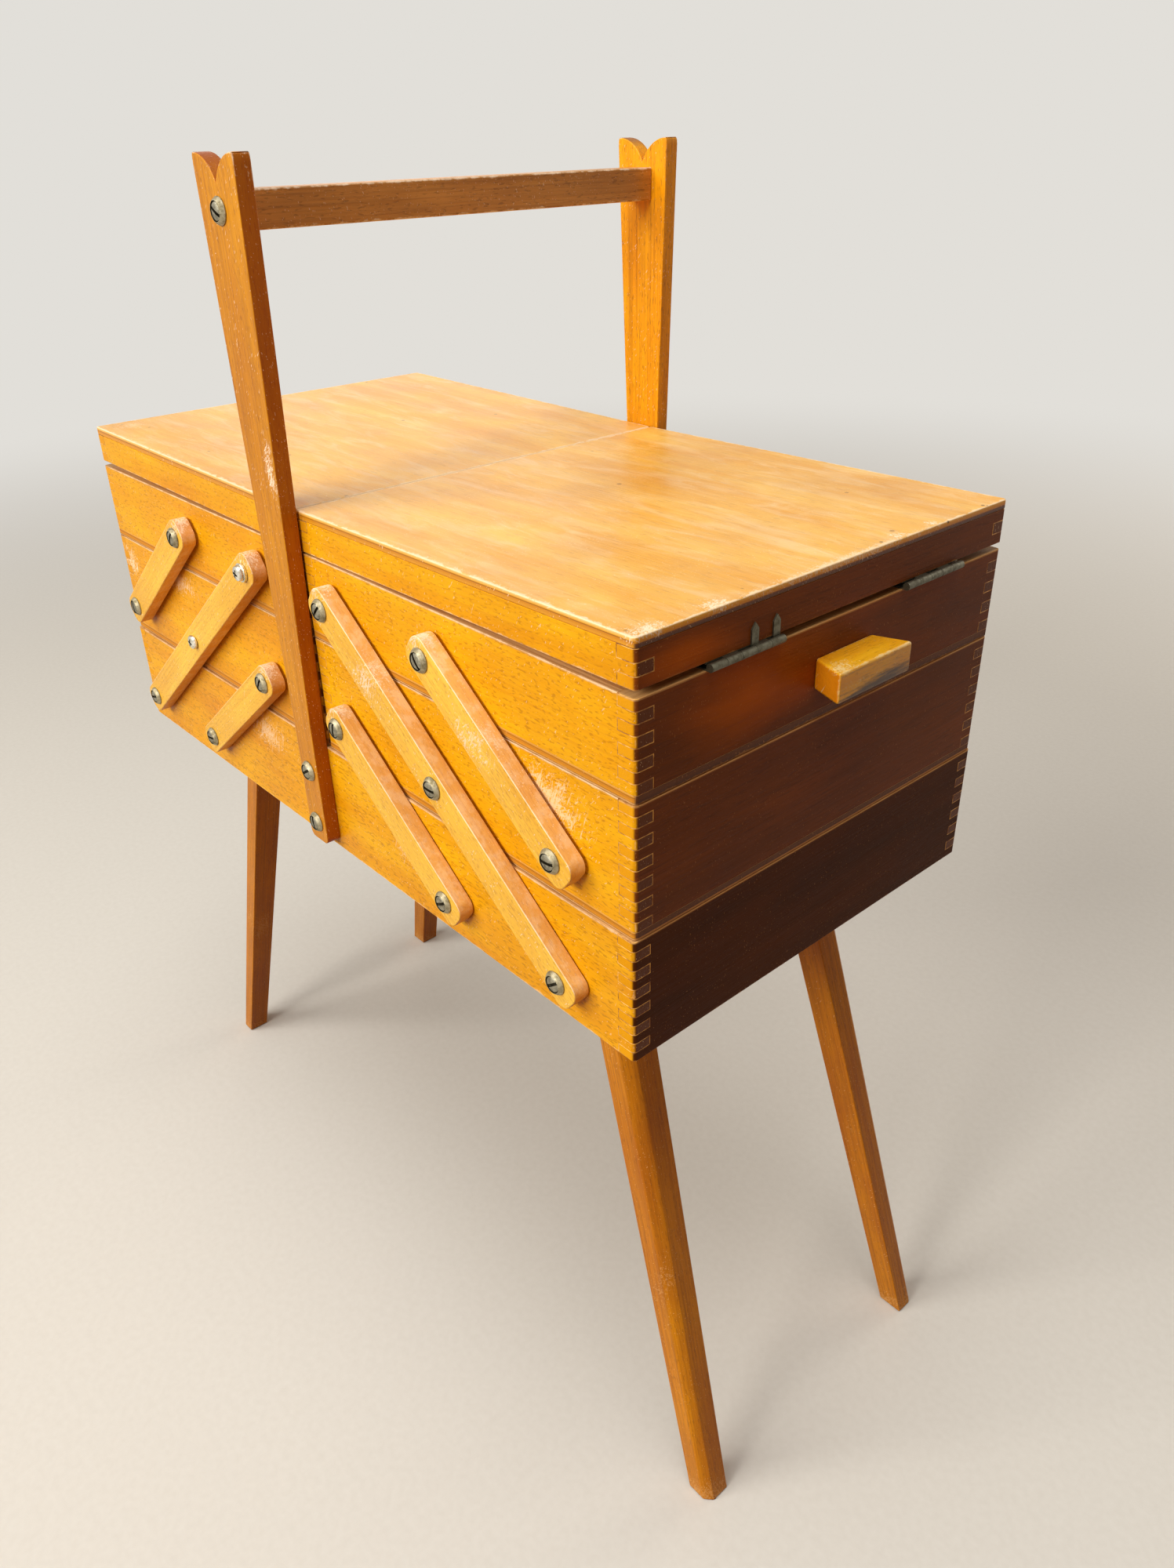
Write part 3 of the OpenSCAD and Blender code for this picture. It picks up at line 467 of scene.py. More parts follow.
# Painted light: the bar's honey is lifted to stand in for light on its face turned to the box's right end.
barHoneyPaintedLight = {
    "grain": (0, 1, 0), "light": "#DE9E50", "dark": "#C2863C", "streak": "#925E28", "fleck": "#68401A",
    "flecks": 0.4, "streaks": 0.5,
}
pullHoney = dict(
    uprightHoney, grain=(0, 1, 0), light="#FFC21C", dark="#F8A20C", flecks=0.35, streaks=0.2,
    endGrainAndPaintedLightTone="#F09410", bare="#F8DC9C", edgeReach=2.2, edgeWear=0.6, rough=0.28, sheen=0.5)
insideWood = {
    "grain": (1, 0, 0), "light": "#D9AE78", "dark": "#C9985F", "streak": "#A9773F", "fleck": "#8A5C2C",
    "flecks": 0.3, "coat": 0.0, "rough": 0.6, "edgeWear": 0.2,
}

# Layers of plywood from its underside (0) to its top (1); the two sides come first.
trayPlies = [(0.0, "#D9A05A"), (1.0, "#C98A30"), (0.12, "#E8B870"), (0.2, "#8A5012"), (0.3, "#D08A1C"),
             (0.7, "#C07A18"), (0.78, "#8A5214"), (0.86, "#D8962A")]
# painted shade: the plies as they show on the box's ends
shadedPlies = {
    "mid": [(0.0, "#C08A50"), (1.0, "#5A3010"), (0.24, "#B87E44"), (0.34, "#47240B"), (0.6, "#5E3212")],
    "top": [(0.0, "#6E3E18"), (1.0, "#5A3010"), (0.2, "#47240B"), (0.6, "#5E3212")],
}
lidPlies = [(0.0, "#9A5E14"), (1.0, "#F3D3A0"), (0.12, "#DE9A22"), (0.5, "#C98218"), (0.58, "#96590F"),
            (0.66, "#E0A028"), (0.86, "#F0C070")]
# painted shade: the lids' plies on the box's ends
lidShadedEndPlies = [(0.0, "#4A260C"), (1.0, "#FAD070"), (0.4, "#6A3A14"), (0.5, "#D88C20"), (0.8, "#F4AE30")]

# How far the arrises of each kind of piece are taken off, in millimetres.
arris = {"board": 0.2, "panel": 0.3, "lidPanel": 0.5, "cleat": 0.8, "upright": 0.5, "bar": 0.8, "leg": 0.6,
         "pull": 1.2, "arm": 0.5}


def plainMesh(obj):
    return bpy.data.meshes.new_from_object(obj.evaluated_get(bpy.context.evaluated_depsgraph_get()))


# Rounds the outer corners of an upright's two lobes.
def roundLobes(work, radius):
    top = max(v.co.z for v in work.verts)
    corners = [e for e in work.edges
               if e.calc_face_angle(0) > 1 and min(v.co.z for v in e.verts) > top - 0.2 * mm
               and abs(e.verts[0].co.y - e.verts[1].co.y) > 2 * mm]
    places = [e.verts[0].co.x for e in corners]
    outer = [e for e, x in zip(corners, places) if not min(places) + mm < x < max(places) - mm]
    bmesh.ops.bevel(work, geom=outer, offset=radius * mm, segments=4, profile=0.5, affect="EDGES")
    bmesh.ops.remove_doubles(work, verts=[v for v in work.verts if v.co.z > top - 6 * mm], dist=0.4 * mm)


# A merged copy of the solid with its arrises taken off, kept inside the solid's own box.
def easedCopy(node, name, width, jointed, lobeRadius):
    jointEdge = 9.5 * mm      # eased edges shorter than this are the fingers', and show their glue
    work = bmesh.new()
    work.from_mesh(frame["nodes"][node].data)
    bmesh.ops.remove_doubles(work, verts=work.verts, dist=0.05 * mm)
    bmesh.ops.dissolve_limit(work, angle_limit=0.02, verts=work.verts, edges=work.edges)
    if lobeRadius:
        roundLobes(work, lobeRadius)
    low = [min(v.co[i] for v in work.verts) for i in range(3)]
    high = [max(v.co[i] for v in work.verts) for i in range(3)]
    weight = work.edges.layers.float.new("bevel_weight_edge")
    for edge in work.edges:
        edge[weight] = 1.0 if len(edge.link_faces) == 2 and edge.calc_face_angle() > 0.5 else 0.0
    for face in work.faces:
        face.smooth = True
    mesh = bpy.data.meshes.new(name)
    work.to_mesh(mesh)
    work.free()
    for i in range(2):
        mesh.materials.append(None)
    rough = newObject(name + "Rough", mesh)
    bevel = rough.modifiers.new("ease", "BEVEL")
    bevel.width, bevel.segments, bevel.limit_method = width * mm, 2, "WEIGHT"
    bevel.use_clamp_overlap, bevel.material = False, 1
    rough.modifiers.new("evenNormals", "WEIGHTED_NORMAL").keep_sharp = True
    done = plainMesh(rough)
    done.name = name
    bpy.data.objects.remove(rough)
    for face in done.polygons:
        corners = [done.vertices[v].co for v in face.vertices]
        if not jointed or max((a - b).length for a in corners for b in corners) > jointEdge:
            face.material_index = 0
    for vert in done.vertices:
        vert.co = [min(max(c, a), b) for c, a, b in zip(vert.co, low, high)]
    return newObject(name, done)


bodyOf = {n: body for body, nodes in frame["record"]["behaviour"]["bodies"].items() for n in nodes}
glueLine = jointLine()


def placeWood(node, name, look, width, jointed=False, lobeRadius=0):
    piece = easedCopy(node, name, width, jointed, lobeRadius)
    piece.data.materials[0] = lacqueredWood(name + "Finish", look)
    piece.data.materials[1] = glueLine
    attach(piece, bodyOf[node])
    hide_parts(node)
    return piece


# The box of one CAD node, in millimetres.
def boxOf(node):
    return [tuple(c / mm for c in corner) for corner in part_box(node)]


# The box of the base, or of one half's tray or lid, in millimetres.
def wholeBox(part, side=None):
    low, high = carrier["levels"][part]
    if part in ("mid", "top"):
        low -= carrier["trayPly"]
    left, right = -carrier["endX"], carrier["endX"]
    y = carrier["baseY"] if part == "base" else carrier["trayY"]
    if side == "right":
        left = carrier["seamX"] + carrier["seamGap"]
    if side == "left":
        right = carrier["seamX"] - carrier["seamGap"]
    return [(left, -y, low), (right, y, high)]


# base box
baseRubs = [((66, -109, 322), (16, 4, 22), 0.9), ((-60, -109, 330), (30, 4, 14), 0.7)]
for node, name, look, shift, rubs in (
        ("base_front", "baseFrontBoard", frontHoney, 11, baseRubs),
        ("base_rear", "baseRearBoard", frontHoney, 402, []),
        ("base_left_end", "baseLeftBoard", baseEndShadeBrown, 77, []),
        ("base_right_end", "baseRightBoard", baseEndShadeBrown, 530, [])):
    placeWood(node, name,
              dict(look, shift=(shift, shift * 0.7, shift * 1.3), bounds=wholeBox("base"),
                   rimZ=carrier["levels"]["base"][1], patches=rubs),
              arris["board"], True)
placeWood("base_bottom", "baseBottomPanel", dict(insideWood, shift=(40, 9, 3)), arris["panel"])
placeWood("leg_cleats", "legCleats", dict(insideWood, grain=(0, 1, 0)), arris["cleat"])

# trays
trayRubs = {
    "right": [((168, -108, 386), (38, 4, 22), 0.75), ((112, -108, 352), (26, 4, 12), 0.5)],
    "left": [((-150, -108, 392), (50, 4, 12), 0.8), ((-207, -108, 388), (16, 5, 16), 1.0)],
}


def placeTray(side, sign, part):
    name = side + part.capitalize()
    low, high = carrier["levels"][part]
    seed = (3 if part == "mid" else 8) * (17 if side == "right" else 29)
    bounds = wholeBox(part, side)
    placeWood(f"{side}_{part}_sides", f"{name}SideBoards",
              dict(frontHoney, shift=(seed, seed * 2, seed * 0.6), bounds=bounds, rimZ=high,
                   patches=trayRubs[side] if part == "mid" else []),
              arris["board"], True)
    placeWood(f"{side}_{part}_ends", f"{name}EndBoards",
              dict(endShadeBrown, shift=(seed * 1.7, seed, seed * 2.1), bounds=bounds, rimZ=high,
                   # painted light: a warm glow on the top tray's end beside the pull
                   paintedGlows=[((sign * 217, -50, 428), (10, 52, 28), 1.5)] if part == "top" else []),
              arris["board"], True)
    placeWood(f"{side}_{part}_bottom", f"{name}BottomPanel",
              dict(insideWood, shift=(seed, 5, 5), plyZ=(low - carrier["trayPly"], low), plies=trayPlies,
                   shadedEndPlies=shadedPlies[part], bare="#D9A468", bounds=bounds, edgeWear=0.35),
              arris["panel"])


# lids
lidRubs = {
    "right": [((214, -100, 463), (10, 16, 3), 1.0), ((214, -68, 463), (8, 12, 3), 1.0),
              ((216, 0, 463), (5, 105, 3), 0.7), ((214, 35, 463), (7, 8, 3), 1.0),
              ((214, 57, 463), (6, 6, 3), 1.0), ((70, -107.5, 463.4), (190, 4.5, 2.2), 0.95)],
    "left": [((-110, -107.5, 463.4), (130, 4, 2.2), 0.9), ((-205, -92, 463.4), (16, 18, 3), 0.4)],
}


def placeLid(side, sign):
    top = carrier["levels"]["lid"][1]
    seed = 41 if side == "right" else 63
    box = {"bounds": wholeBox("lid", side), "lean": True}
    # painted light: a warm glow near the front of each lid's outer end
    glow = [((sign * 217, -84, 450), (10, 36, 12), 1.1)]
    placeWood(f"{side}_lid_sides", f"{side}LidSideBoards",
              dict(frontHoney, flecks=0.35, shift=(seed, seed, seed), **box), arris["board"], True)
    placeWood(f"{side}_lid_ends", f"{side}LidEndBoards",
              dict(endShadeBrown, shift=(seed, seed * 3, seed), paintedGlows=glow, **box), arris["board"], True)
    placeWood(f"{side}_lid_panel", f"{side}LidPanel",
              dict(lidPeach, shift=(seed, seed * 2, 0), patches=lidRubs[side],
                   plyZ=(top - carrier["lidPly"], top), plies=lidPlies, shadedEndPlies=lidShadedEndPlies, **box),
              arris["lidPanel"])


for side, sign in (("right", 1), ("left", -1)):
    for part in ("mid", "top"):
        placeTray(side, sign, part)
    placeLid(side, sign)
print("boards and panels done")

# uprights and handle bar
lobeRadius = 3.4
uprightLooks = {
    # the front upright's red-brown sides are painted shade
    "front": {"shift": (5, 9, 31), "sideToneAndShade": "#A8440A", "sideWear": 0.0},
    "rear": {"shift": (5, 9, 77), "light": "#FAB00E", "dark": "#EE9A08"},
}
for place, ownLook in uprightLooks.items():
    node = f"{place}_upright"
    look = dict(uprightHoney, edgeReach=1.4, edgeWear=0.65, bounds=boxOf(node),
                patches=[((4, -116.5, 480), (6, 8, 20), 1.0)])
    look.update(ownLook)
    placeWood(node, f"{place}Upright", look, arris["upright"], lobeRadius=lobeRadius)
placeWood("handle_bar", "handleBar",
          dict(barHoneyPaintedLight, shift=(12, 3, 8), bounds=boxOf("handle_bar")), arris["bar"])

# legs
legs = {
    "topX": {-1: 162, 1: 155},    # the left legs reach the box a little further out
    "topY": 64,
    "footX": 241,
    "footY": 80.5,
}
for fx, sx in (("left", -1), ("right", 1)):
    for fy, sy in (("front", -1), ("rear", 1)):
        top = Vector((sx * legs["topX"][sx], sy * legs["topY"], carrier["levels"]["base"][0]))
        foot = Vector((sx * legs["footX"], sy * legs["footY"], 0))
        placeWood(f"{fy}_{fx}_leg", f"{fy}{fx.capitalize()}Leg",
                  dict(legHoney, grain=(top - foot).normalized(), shift=(sx * 40, sy * 23, 7),
                       patches=[((sx * 240, sy * 80, 2), (24, 24, 14), 0.5),
                                ((sx * 205, sy * 75, 118), (9, 14, 34), 0.5)]),
                  arris["leg"])

# pulls
for side, sx in (("right", 1), ("left", -1)):
    placeWood(f"{side}_pull", f"{side}Pull",
              dict(pullHoney, bounds=boxOf(f"{side}_pull"),
                   patches=[((sx * 229, -16, 428.5), (8, 12, 3), 0.7),
                            ((sx * 235, -6, 422), (5, 24, 5), 0.6)],
                   darkSmears=[((sx * 236, 6, 410), (11, 42, 18), 0.95)]),
              arris["pull"])
print("handle, legs and pulls done")


def pivotX(sx, column):
    return carrier["handleX"] + sx * (carrier["pivotInner"] + column * carrier["pivotPitch"])


# arms, rubbed at their tips and where hands have held the right ones
armRubs = {
    "right_long": [((62, -114, 402), (22, 8, 16), 0.85)],
    "right_upper": [((135, -114, 400), (22, 8, 16), 0.8)],
}
for side, sx in (("right", 1), ("left", -1)):
    lie = Vector((-sx * carrier["pivotPitch"], 0, carrier["rows"][1] - carrier["rows"][0])).normalized()
    for part, column, row in (("long", 0, 2), ("lower", 0, 1), ("upper", 1, 2)):
        tip = (pivotX(sx, column) - sx * 3, -carrier["armFaceY"] + 3, carrier["rows"][row] + 8)
        rubs = [(tip, (15, 8, 11), 0.9)] + armRubs.get(f"{side}_{part}", [])
        placeWood(f"{side}_{part}_arms", f"{side}{part.capitalize()}Arms",
                  dict(armHoney, grain=lie, shift=(len(part) * 31, sx * 17, 5), patches=rubs), arris["arm"])
print("arms done")


screwNickel = dullMetal("screwNickel", {"metal": "#A29C88", "film": "#706A58", "rough": 0.4})
cupNickel = dullMetal("cupNickel", {"metal": "#ADA388", "film": "#7E7458", "rough": 0.5})
screwZinc = dullMetal("screwZinc", {"metal": "#F2F0E6", "film": "#C4BDA6", "rough": 0.2})
hingeSteel = dullMetal("hingeSteel", {"metal": "#6C6858", "film": "#524D3E", "rough": 0.4})
# old grime and painted shade in the slots and the gaps under the heads
slotGrimeAndShade = dullMetal("slotGrimeAndShade", {"metal": "#4C4636", "film": "#2C271C", "rough": 0.62})

fastener = {
    "standOff": 0.16,      # under a cup washer, off the arm's face
    "cupDiameter": 10.5,
    "cupHeight": 2.1,
    "headDiameter": 6.9,
    "slotWidth": 1.3,
    "slotDepth": 1.1,
    "shankDiameter": 3.4,
    "panDiameter": 7.6,
    "panHeight": 2.6,
    "crossLength": 4.2,
    "crossWidth": 0.95,
    "crossTurn": 0.4,
}


def lathe(name, profile, steps, material):
    mesh = bpy.data.meshes.new(name)
    work = bmesh.new()
    verts = [work.verts.new((r * mm, 0, z * mm)) for r, z in profile]
    edges = [work.edges.new(pair) for pair in zip(verts, verts[1:])]
    bmesh.ops.spin(work, geom=verts + edges, axis=(0, 0, 1), cent=(0, 0, 0), steps=steps, angle=math.tau,
                   use_merge=True)
    bmesh.ops.remove_doubles(work, verts=work.verts, dist=0.01 * mm)
    bmesh.ops.recalc_face_normals(work, faces=work.faces)
    work.to_mesh(mesh)
    work.free()
    mesh.materials.append(material)
    return newObject(name, mesh)


# Cuts a block of this size out of a template, at each turn about its axis.
def cutSlots(obj, size, turns, z):
    for turn in turns:
        mesh = bpy.data.meshes.new("slot")
        work = bmesh.new()
        bmesh.ops.create_cube(work, size=1)
        bmesh.ops.scale(work, vec=[s * mm for s in size], verts=work.verts)
        bmesh.ops.translate(work, vec=(0, 0, z * mm), verts=work.verts)
        bmesh.ops.rotate(work, matrix=Matrix.Rotation(turn, 3, "Z"), verts=work.verts)
        work.to_mesh(mesh)
        work.free()
        tool = newObject("slot", mesh)
        cut = obj.modifiers.new("slot", "BOOLEAN")
        cut.operation, cut.solver, cut.object = "DIFFERENCE", "EXACT", tool
        done = plainMesh(obj)
        obj.modifiers.clear()
        obj.data = done
        bpy.data.objects.remove(tool)


# Faces that hold old grime and painted shade: the slots and the gap between a head and its cup, made dark.
def markGrimy(obj, holds):
    flags = obj.data.attributes.new("grimy", "BOOLEAN", "FACE")
    for face in obj.data.polygons:
        face.use_smooth = True
        flags.data[face.index].value = holds(face.center / mm)
    obj.data.set_sharp_from_angle(angle=0.5)


def cupTemplate():
    rim, tall, foot = fastener["cupDiameter"] / 2, fastener["cupHeight"], fastener["standOff"]
    head, shank = fastener["headDiameter"] / 2, fastener["shankDiameter"] / 2
    made = lathe("cupTemplate", [
        (rim - 0.5, foot), (rim, foot), (rim, 0.5), (rim - 0.35, tall * 0.5), (rim - 0.85, tall * 0.8),
        (rim - 1.3, tall), (head + 0.35, tall), (head + 0.2, tall * 0.6), (shank + 0.6, 0.3),
        (rim - 1.3, 0.2), (rim - 0.5, foot)], 48, cupNickel)
    markGrimy(made, lambda c: math.hypot(c.x, c.y) < head + 0.34)
    return made


def screwPoint():
    return [(0, -14), (0.5, -13.4), (fastener["shankDiameter"] / 2, -10)]


def slottedTemplate():
    head, shank = fastener["headDiameter"] / 2, fastener["shankDiameter"] / 2
    width, depth = fastener["slotWidth"], fastener["slotDepth"]
    rise = fastener["cupHeight"] - 0.3
    crown = rise + 0.5
    made = lathe("screwTemplate", screwPoint() + [
        (shank, rise - 1.7), (head - 0.3, rise - 0.25), (head - 0.1, rise), (head * 0.86, rise + 0.24),
        (head * 0.6, rise + 0.42), (head * 0.25, crown), (0, crown)], 40, screwNickel)
    cutSlots(made, (12, width, 4), [0], crown - depth + 2)
    markGrimy(made, lambda c: abs(c.y) < width / 2 + 0.01 and c.z > rise - depth + 0.4)
    return made


# A cross-recessed pan head; one that stands proud has a flat washer under it.
def panTemplate(name, lift):
    pan, tall, turn = fastener["panDiameter"] / 2, fastener["panHeight"], fastener["crossTurn"]
    shank, foot = fastener["shankDiameter"] / 2, fastener["standOff"]
    under = [(4.5, foot), (4.6, 0.3), (4.6, lift - 0.15), (4.45, lift)] if lift > 1 else [(shank, lift)]
    made = lathe(name, screwPoint() + [(shank, foot)] + under + [
        (pan - 0.15, lift), (pan, lift + 0.2), (pan, lift + tall * 0.4), (pan * 0.9, lift + tall * 0.75),
        (pan * 0.62, lift + tall * 0.95), (pan * 0.3, lift + tall), (0, lift + tall)], 40, screwZinc)
    arm = (fastener["crossLength"], fastener["crossWidth"], 3.2)
    cutSlots(made, arm, [turn, turn + math.pi / 2], lift + tall)

    def holds(c):
        turned = Matrix.Rotation(-turn, 3, "Z") @ c
        across, along = sorted((abs(turned.x), abs(turned.y)))
        return across < arm[1] / 2 + 0.015 and along < arm[0] / 2 + 0.02 and c.z > lift + 0.9
    markGrimy(made, holds)
    return made


cup = cupTemplate()
screw = slottedTemplate()
panFlush = panTemplate("panFlushTemplate", 0.3)
panProud = panTemplate("panProudTemplate", 1.6)
noWasher = newObject("noWasher", bpy.data.meshes.new("noWasher"))


# One tree sets cup washers and screws on points; "outward" is each point's direction.
def fastenerTree():
    tree = bpy.data.node_groups.new("fastenersOnPoints", "GeometryNodeTree")
    tree.interface.new_socket("Geometry", in_out="OUTPUT", socket_type="NodeSocketGeometry")
    for label, kind in (("Geometry", "Geometry"), ("Screw", "Object"), ("Cup Washer", "Object"),
                        ("Screw Size", "Float"), ("Cup Size", "Float"), ("Turn Seed", "Int"),
                        ("Screw Finish", "Material"), ("Cup Finish", "Material"),
                        ("Grime And Shade Finish", "Material")):
        tree.interface.new_socket(label, in_out="INPUT", socket_type="NodeSocket" + kind)
    given = addNode(tree, "NodeGroupInput", out=None).outputs
    outward = addNode(tree, "GeometryNodeInputNamedAttribute", {"Name": "outward"}, data_type="FLOAT_VECTOR")
    grimy = addNode(tree, "GeometryNodeInputNamedAttribute", {"Name": "grimy"}, data_type="BOOLEAN")
    facing = addNode(tree, "FunctionNodeAlignRotationToVector", {"Vector": outward}, axis="Z")
    turn = addNode(tree, "FunctionNodeRandomValue", {2: 0.0, 3: math.tau, "Seed": given["Turn Seed"]}, out=1,
                   data_type="FLOAT")
    spin = addNode(tree, "FunctionNodeAxisAngleToRotation", {"Axis": (0, 0, 1), "Angle": turn})
    turned = addNode(tree, "FunctionNodeRotateRotation", {0: facing, 1: spin}, rotation_space="LOCAL")
    join = addNode(tree, "GeometryNodeJoinGeometry", out=None)
    for label, size, finish, rotation in (("Screw", "Screw Size", "Screw Finish", turned),
                                          ("Cup Washer", "Cup Size", "Cup Finish", facing)):
        shape = addNode(tree, "GeometryNodeObjectInfo", {"Object": given[label]}, out="Geometry")
        placed = addNode(tree, "GeometryNodeInstanceOnPoints", {
            "Points": given["Geometry"], "Instance": shape, "Rotation": rotation, "Scale": given[size]})
        real = addNode(tree, "GeometryNodeRealizeInstances", {0: placed})
        plain = addNode(tree, "GeometryNodeSetMaterial", {0: real, "Material": given[finish]})
        part = addNode(tree, "GeometryNodeSetMaterial", {
            0: plain, "Selection": grimy, "Material": given["Grime And Shade Finish"]})
        tree.links.new(part, join.inputs[0])
    addNode(tree, "NodeGroupOutput", {0: join.outputs[0]})
    return tree


fasteners = fastenerTree()


def setFasteners(places, template, washer, seed, finish):
    mesh = bpy.data.meshes.new("points")
    mesh.from_pydata([[c * mm for c in spot] for spot, _ in places], [], [])
    normals = mesh.attributes.new("outward", "FLOAT_VECTOR", "POINT")
    for i, (_, way) in enumerate(places):
        normals.data[i].vector = way
    obj = newObject("points", mesh)
    maker = obj.modifiers.new("fasteners", "NODES")
    maker.node_group = fasteners
    values = {"Screw": template, "Cup Washer": washer, "Screw Size": 1.0, "Cup Size": 1.0, "Turn Seed": seed,
              "Screw Finish": finish, "Cup Finish": cupNickel, "Grime And Shade Finish": slotGrimeAndShade}
    for item in fasteners.interface.items_tree:
        if item.item_type == "SOCKET" and item.in_out == "INPUT" and item.name in values:
            maker[item.identifier] = values[item.name]
    made = plainMesh(obj)
    bpy.data.objects.remove(obj)
    return made


def joinMeshes(name, meshes):
    work = bmesh.new()
    joined = bpy.data.meshes.new(name)
    finishes = []
    for mesh in meshes:
        start = len(work.faces)
        work.from_mesh(mesh)
        work.faces.ensure_lookup_table()
        for face in list(work.faces)[start:]:
            finish = mesh.materials[face.material_index]
            if finish not in finishes:
                finishes.append(finish)
            face.material_index = finishes.index(finish)
    work.to_mesh(joined)
    work.free()
    for finish in finishes:
        joined.materials.append(finish)
    return newObject(name, joined)


def pivotSpot(sx, column, row, sy):
    return ((pivotX(sx, column), sy * carrier["armFaceY"], carrier["rows"][row]), (0, sy, 0))


def addFastenerPiece(name, body, nodes, groups):
    piece = joinMeshes(name, [setFasteners(*group) for group in groups])
    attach(piece, body)
    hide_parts(*nodes)


baseSpots = [pivotSpot(sx, c, 0, sy) for sx in signs for c in (1, 2) for sy in signs]
handleSpots = [((carrier["handleX"], sy * carrier["uprightFaceY"], z), (0, sy, 0))
               for sy in signs for z in carrier["uprightScrewZ"] + (carrier["barZ"],)]
addFastenerPiece("baseFasteners", "base", ["base_pivot_screws", "base_cup_washers", "handle_screws"],
                 [(baseSpots + handleSpots, screw, cup, 5, screwNickel)])
newerScrews = {    # on the left front long arm: its spot and its head
    "left_mid": (pivotSpot(-1, 1, 1, -1), panFlush),
    "left_top": (pivotSpot(-1, 0, 2, -1), panProud),
}
for side, sx in (("right", 1), ("left", -1)):
    for part, row, columns in (("mid", 1, (0, 1, 2)), ("top", 2, (0, 1))):
        tray = f"{side}_{part}"
        spots = [pivotSpot(sx, c, row, sy) for c in columns for sy in signs]
        newer, head = newerScrews.get(tray, (None, None))
        groups = [([s for s in spots if s != newer], screw, cup, row * 7 + sx, screwNickel)]
        if newer:
            groups.append(([newer], head, noWasher, 3, screwZinc))
        addFastenerPiece(f"{side}{part.capitalize()}Fasteners", f"{tray}_tray",
                         [f"{tray}_screws", f"{tray}_washers"], groups)
for obj in (cup, screw, panFlush, panProud, noWasher):
    bpy.data.objects.remove(obj)

# CAD nodes that stay as they are and only get their finish
hingeNodes = [f"{side}_{part}" for side in ("right", "left")
              for part in ("tray_leaves", "lid_leaves", "hinge_pins")]
hiddenScrews = ["leg_screws", "pull_screws_right", "pull_screws_left"]
for finish, nodes in ((screwNickel, hiddenScrews), (hingeSteel, hingeNodes)):
    for node in nodes:
        frame["nodes"][node].data.materials.clear()
        frame["nodes"][node].data.materials.append(finish)
print("metal done")

stage = {
    "backdrop": "#E6E3DD",
    "backdropLight": 0.96,
    "bounce": "#74441F",      # what the floor throws back on the wood, as a teak table does
    "room": "#C9B49A",
    "roomLight": 0.16,
    "floorRadius": 7,
    "floorZ": -0.0004,
}


# The backdrop shows pale to the camera and in reflections; lamps and a dimmer, warmer room light the wood.
def seenDirectly(tree):
    path = addNode(tree, "ShaderNodeLightPath", out=None).outputs
    seen = stronger(tree, path["Is Camera Ray"], path["Is Glossy Ray"])
    return stronger(tree, seen, path["Is Transmission Ray"])


# Pale matt paper that fades into the backdrop.
def floorPaper():
    material, tree = emptyMaterial("floorPaper")
    direct = seenDirectly(tree)
    spot = addNode(tree, "ShaderNodeTexCoord", out=3)
    fibre = addNode(tree, "ShaderNodeTexNoise", {0: spot, "Scale": 240.0, "Detail": 3.0})
    pale = addNode(tree, "ShaderNodeMix", {0: fibre, 6: "#D2CDC4", 7: "#DBD7CF"}, **rgba)
    color = addNode(tree, "ShaderNodeMix", {0: direct, 6: stage["bounce"], 7: pale}, **rgba)
    paper = addNode(tree, "ShaderNodeBsdfPrincipled", {
        "Base Color": color, "Roughness": 0.8, "Specular IOR Level": 0.2})
    away = addNode(tree, "ShaderNodeVectorMath", {0: spot}, out=1, operation="LENGTH")
    away = addNode(tree, "ShaderNodeMapRange", {0: away, 1: 0.9, 2: 2.6}, **smooth)
    away = addNode(tree, "ShaderNodeMath", {0: away, 1: direct}, operation="MULTIPLY")
    far = addNode(tree, "ShaderNodeEmission", {0: stage["backdrop"], 1: stage["backdropLight"]})
    surface = addNode(tree, "ShaderNodeMixShader", {0: away, 1: paper, 2: far})
    addNode(tree, "ShaderNodeOutputMaterial", {0: surface})
    return material


work = bmesh.new()
bmesh.ops.create_circle(work, cap_ends=True, radius=stage["floorRadius"], segments=96)
floorMesh = bpy.data.meshes.new("floor")
work.to_mesh(floorMesh)
work.free()
floorMesh.materials.append(floorPaper())
floor = newObject("floor", floorMesh)
floor.location.z = stage["floorZ"]

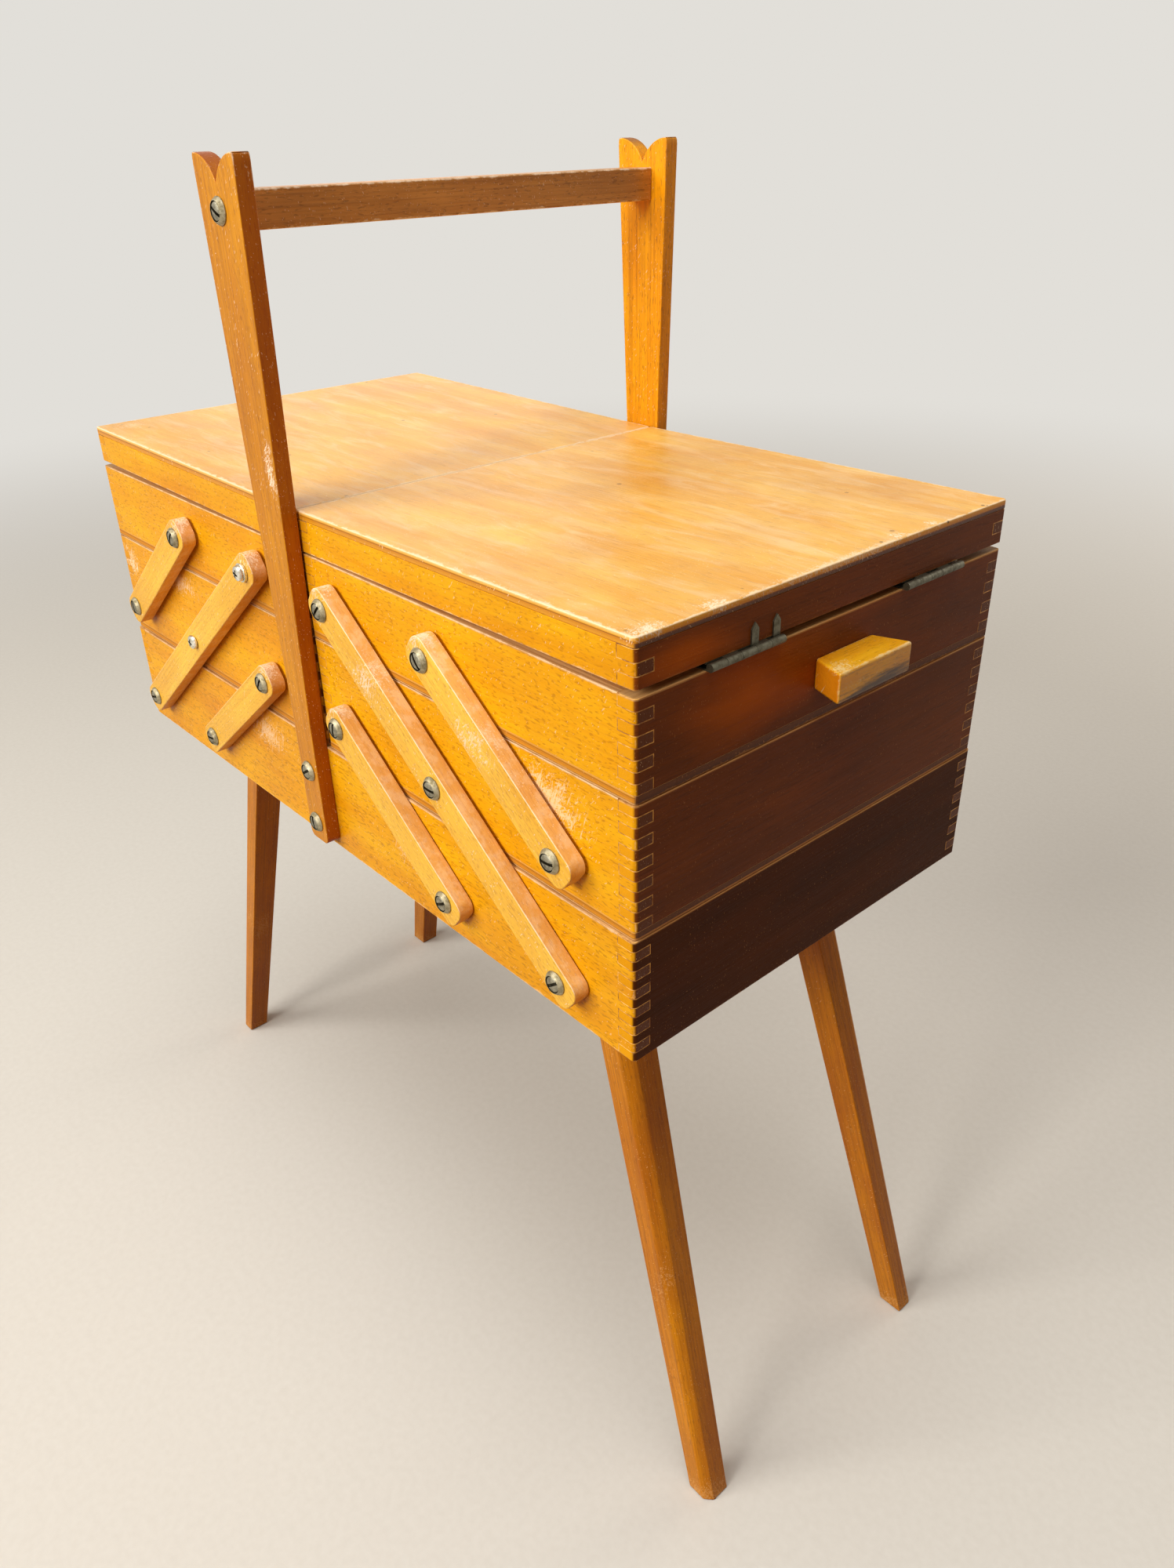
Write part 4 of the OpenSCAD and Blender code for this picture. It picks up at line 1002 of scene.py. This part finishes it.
lamps = {
    "keySoftbox": {"at": (-1.1, -2.5, 1.9), "size": 1.5, "power": 60, "color": "#FFFCF6"},
    "frontLight": {"at": (0.3, -2.7, 1.5), "size": 0.9, "power": 44, "color": "#FFFCF6"},
    "overhead": {"at": (0.25, -0.4, 2.6), "size": 1.5, "power": 32, "color": "#FFFFFF"},
    "sheenCard": {"at": (-2.7, 1.6, 0.9), "size": 1.2, "power": 5, "color": "#FFF4EC"},
    "warmFill": {"at": (2.4, -0.9, 0.9), "size": 1.4, "power": 3, "color": "#FFC890"},
    "backFill": {"at": (0.3, 2.6, 1.0), "size": 1.4, "power": 20, "color": "#FFF6EA"},
}
lampsLookAt = Vector((0, 0, 0.35))
for name, lamp in lamps.items():
    data = bpy.data.lights.new(name, "AREA")
    data.shape, data.size = "SQUARE", lamp["size"]
    data.energy = lamp["power"]
    data.color = linearColor(lamp["color"])[:3]
    obj = newObject(name, data)
    obj.location = lamp["at"]
    obj.rotation_euler = (lampsLookAt - Vector(lamp["at"])).to_track_quat("-Z", "Y").to_euler()

world = bpy.data.worlds.new("room")
bpy.context.scene.world = world
world.use_nodes = True
tree = world.node_tree
tree.nodes.clear()
seen = seenDirectly(tree)
strength = addNode(tree, "ShaderNodeMapRange", {0: seen, 3: stage["roomLight"], 4: stage["backdropLight"]})
color = addNode(tree, "ShaderNodeMix", {0: seen, 6: stage["room"], 7: stage["backdrop"]}, **rgba)
glow = addNode(tree, "ShaderNodeBackground", {0: color, 1: strength})
addNode(tree, "ShaderNodeOutputWorld", {0: glow})

view = {
    "at": (460.5, -341.2, 602.3),     # millimetres
    "azimuth": 0.854785,
    "down": 0.514915,
    "roll": -0.025403,
    "focalPixels": 1479.5,
    "picturePixels": 2000,            # the picture's height
}
camera = newObject("camera", bpy.data.cameras.new("camera"))
camera.data.sensor_width = 36
camera.data.lens = view["focalPixels"] / view["picturePixels"] * camera.data.sensor_width
camera.data.clip_start = 0.02
ahead = Vector((-math.sin(view["azimuth"]) * math.cos(view["down"]),
                math.cos(view["azimuth"]) * math.cos(view["down"]), -math.sin(view["down"])))
level = Vector((math.cos(view["azimuth"]), math.sin(view["azimuth"]), 0))
above = level.cross(ahead)
right = math.cos(view["roll"]) * level + math.sin(view["roll"]) * above
up = -math.sin(view["roll"]) * level + math.cos(view["roll"]) * above
turned = Matrix((right, up, -ahead)).transposed().to_4x4()
camera.matrix_world = Matrix.Translation(Vector(view["at"]) * mm) @ turned
bpy.context.scene.camera = camera
bpy.context.scene.view_settings.view_transform = "Standard"
print("light and camera done")
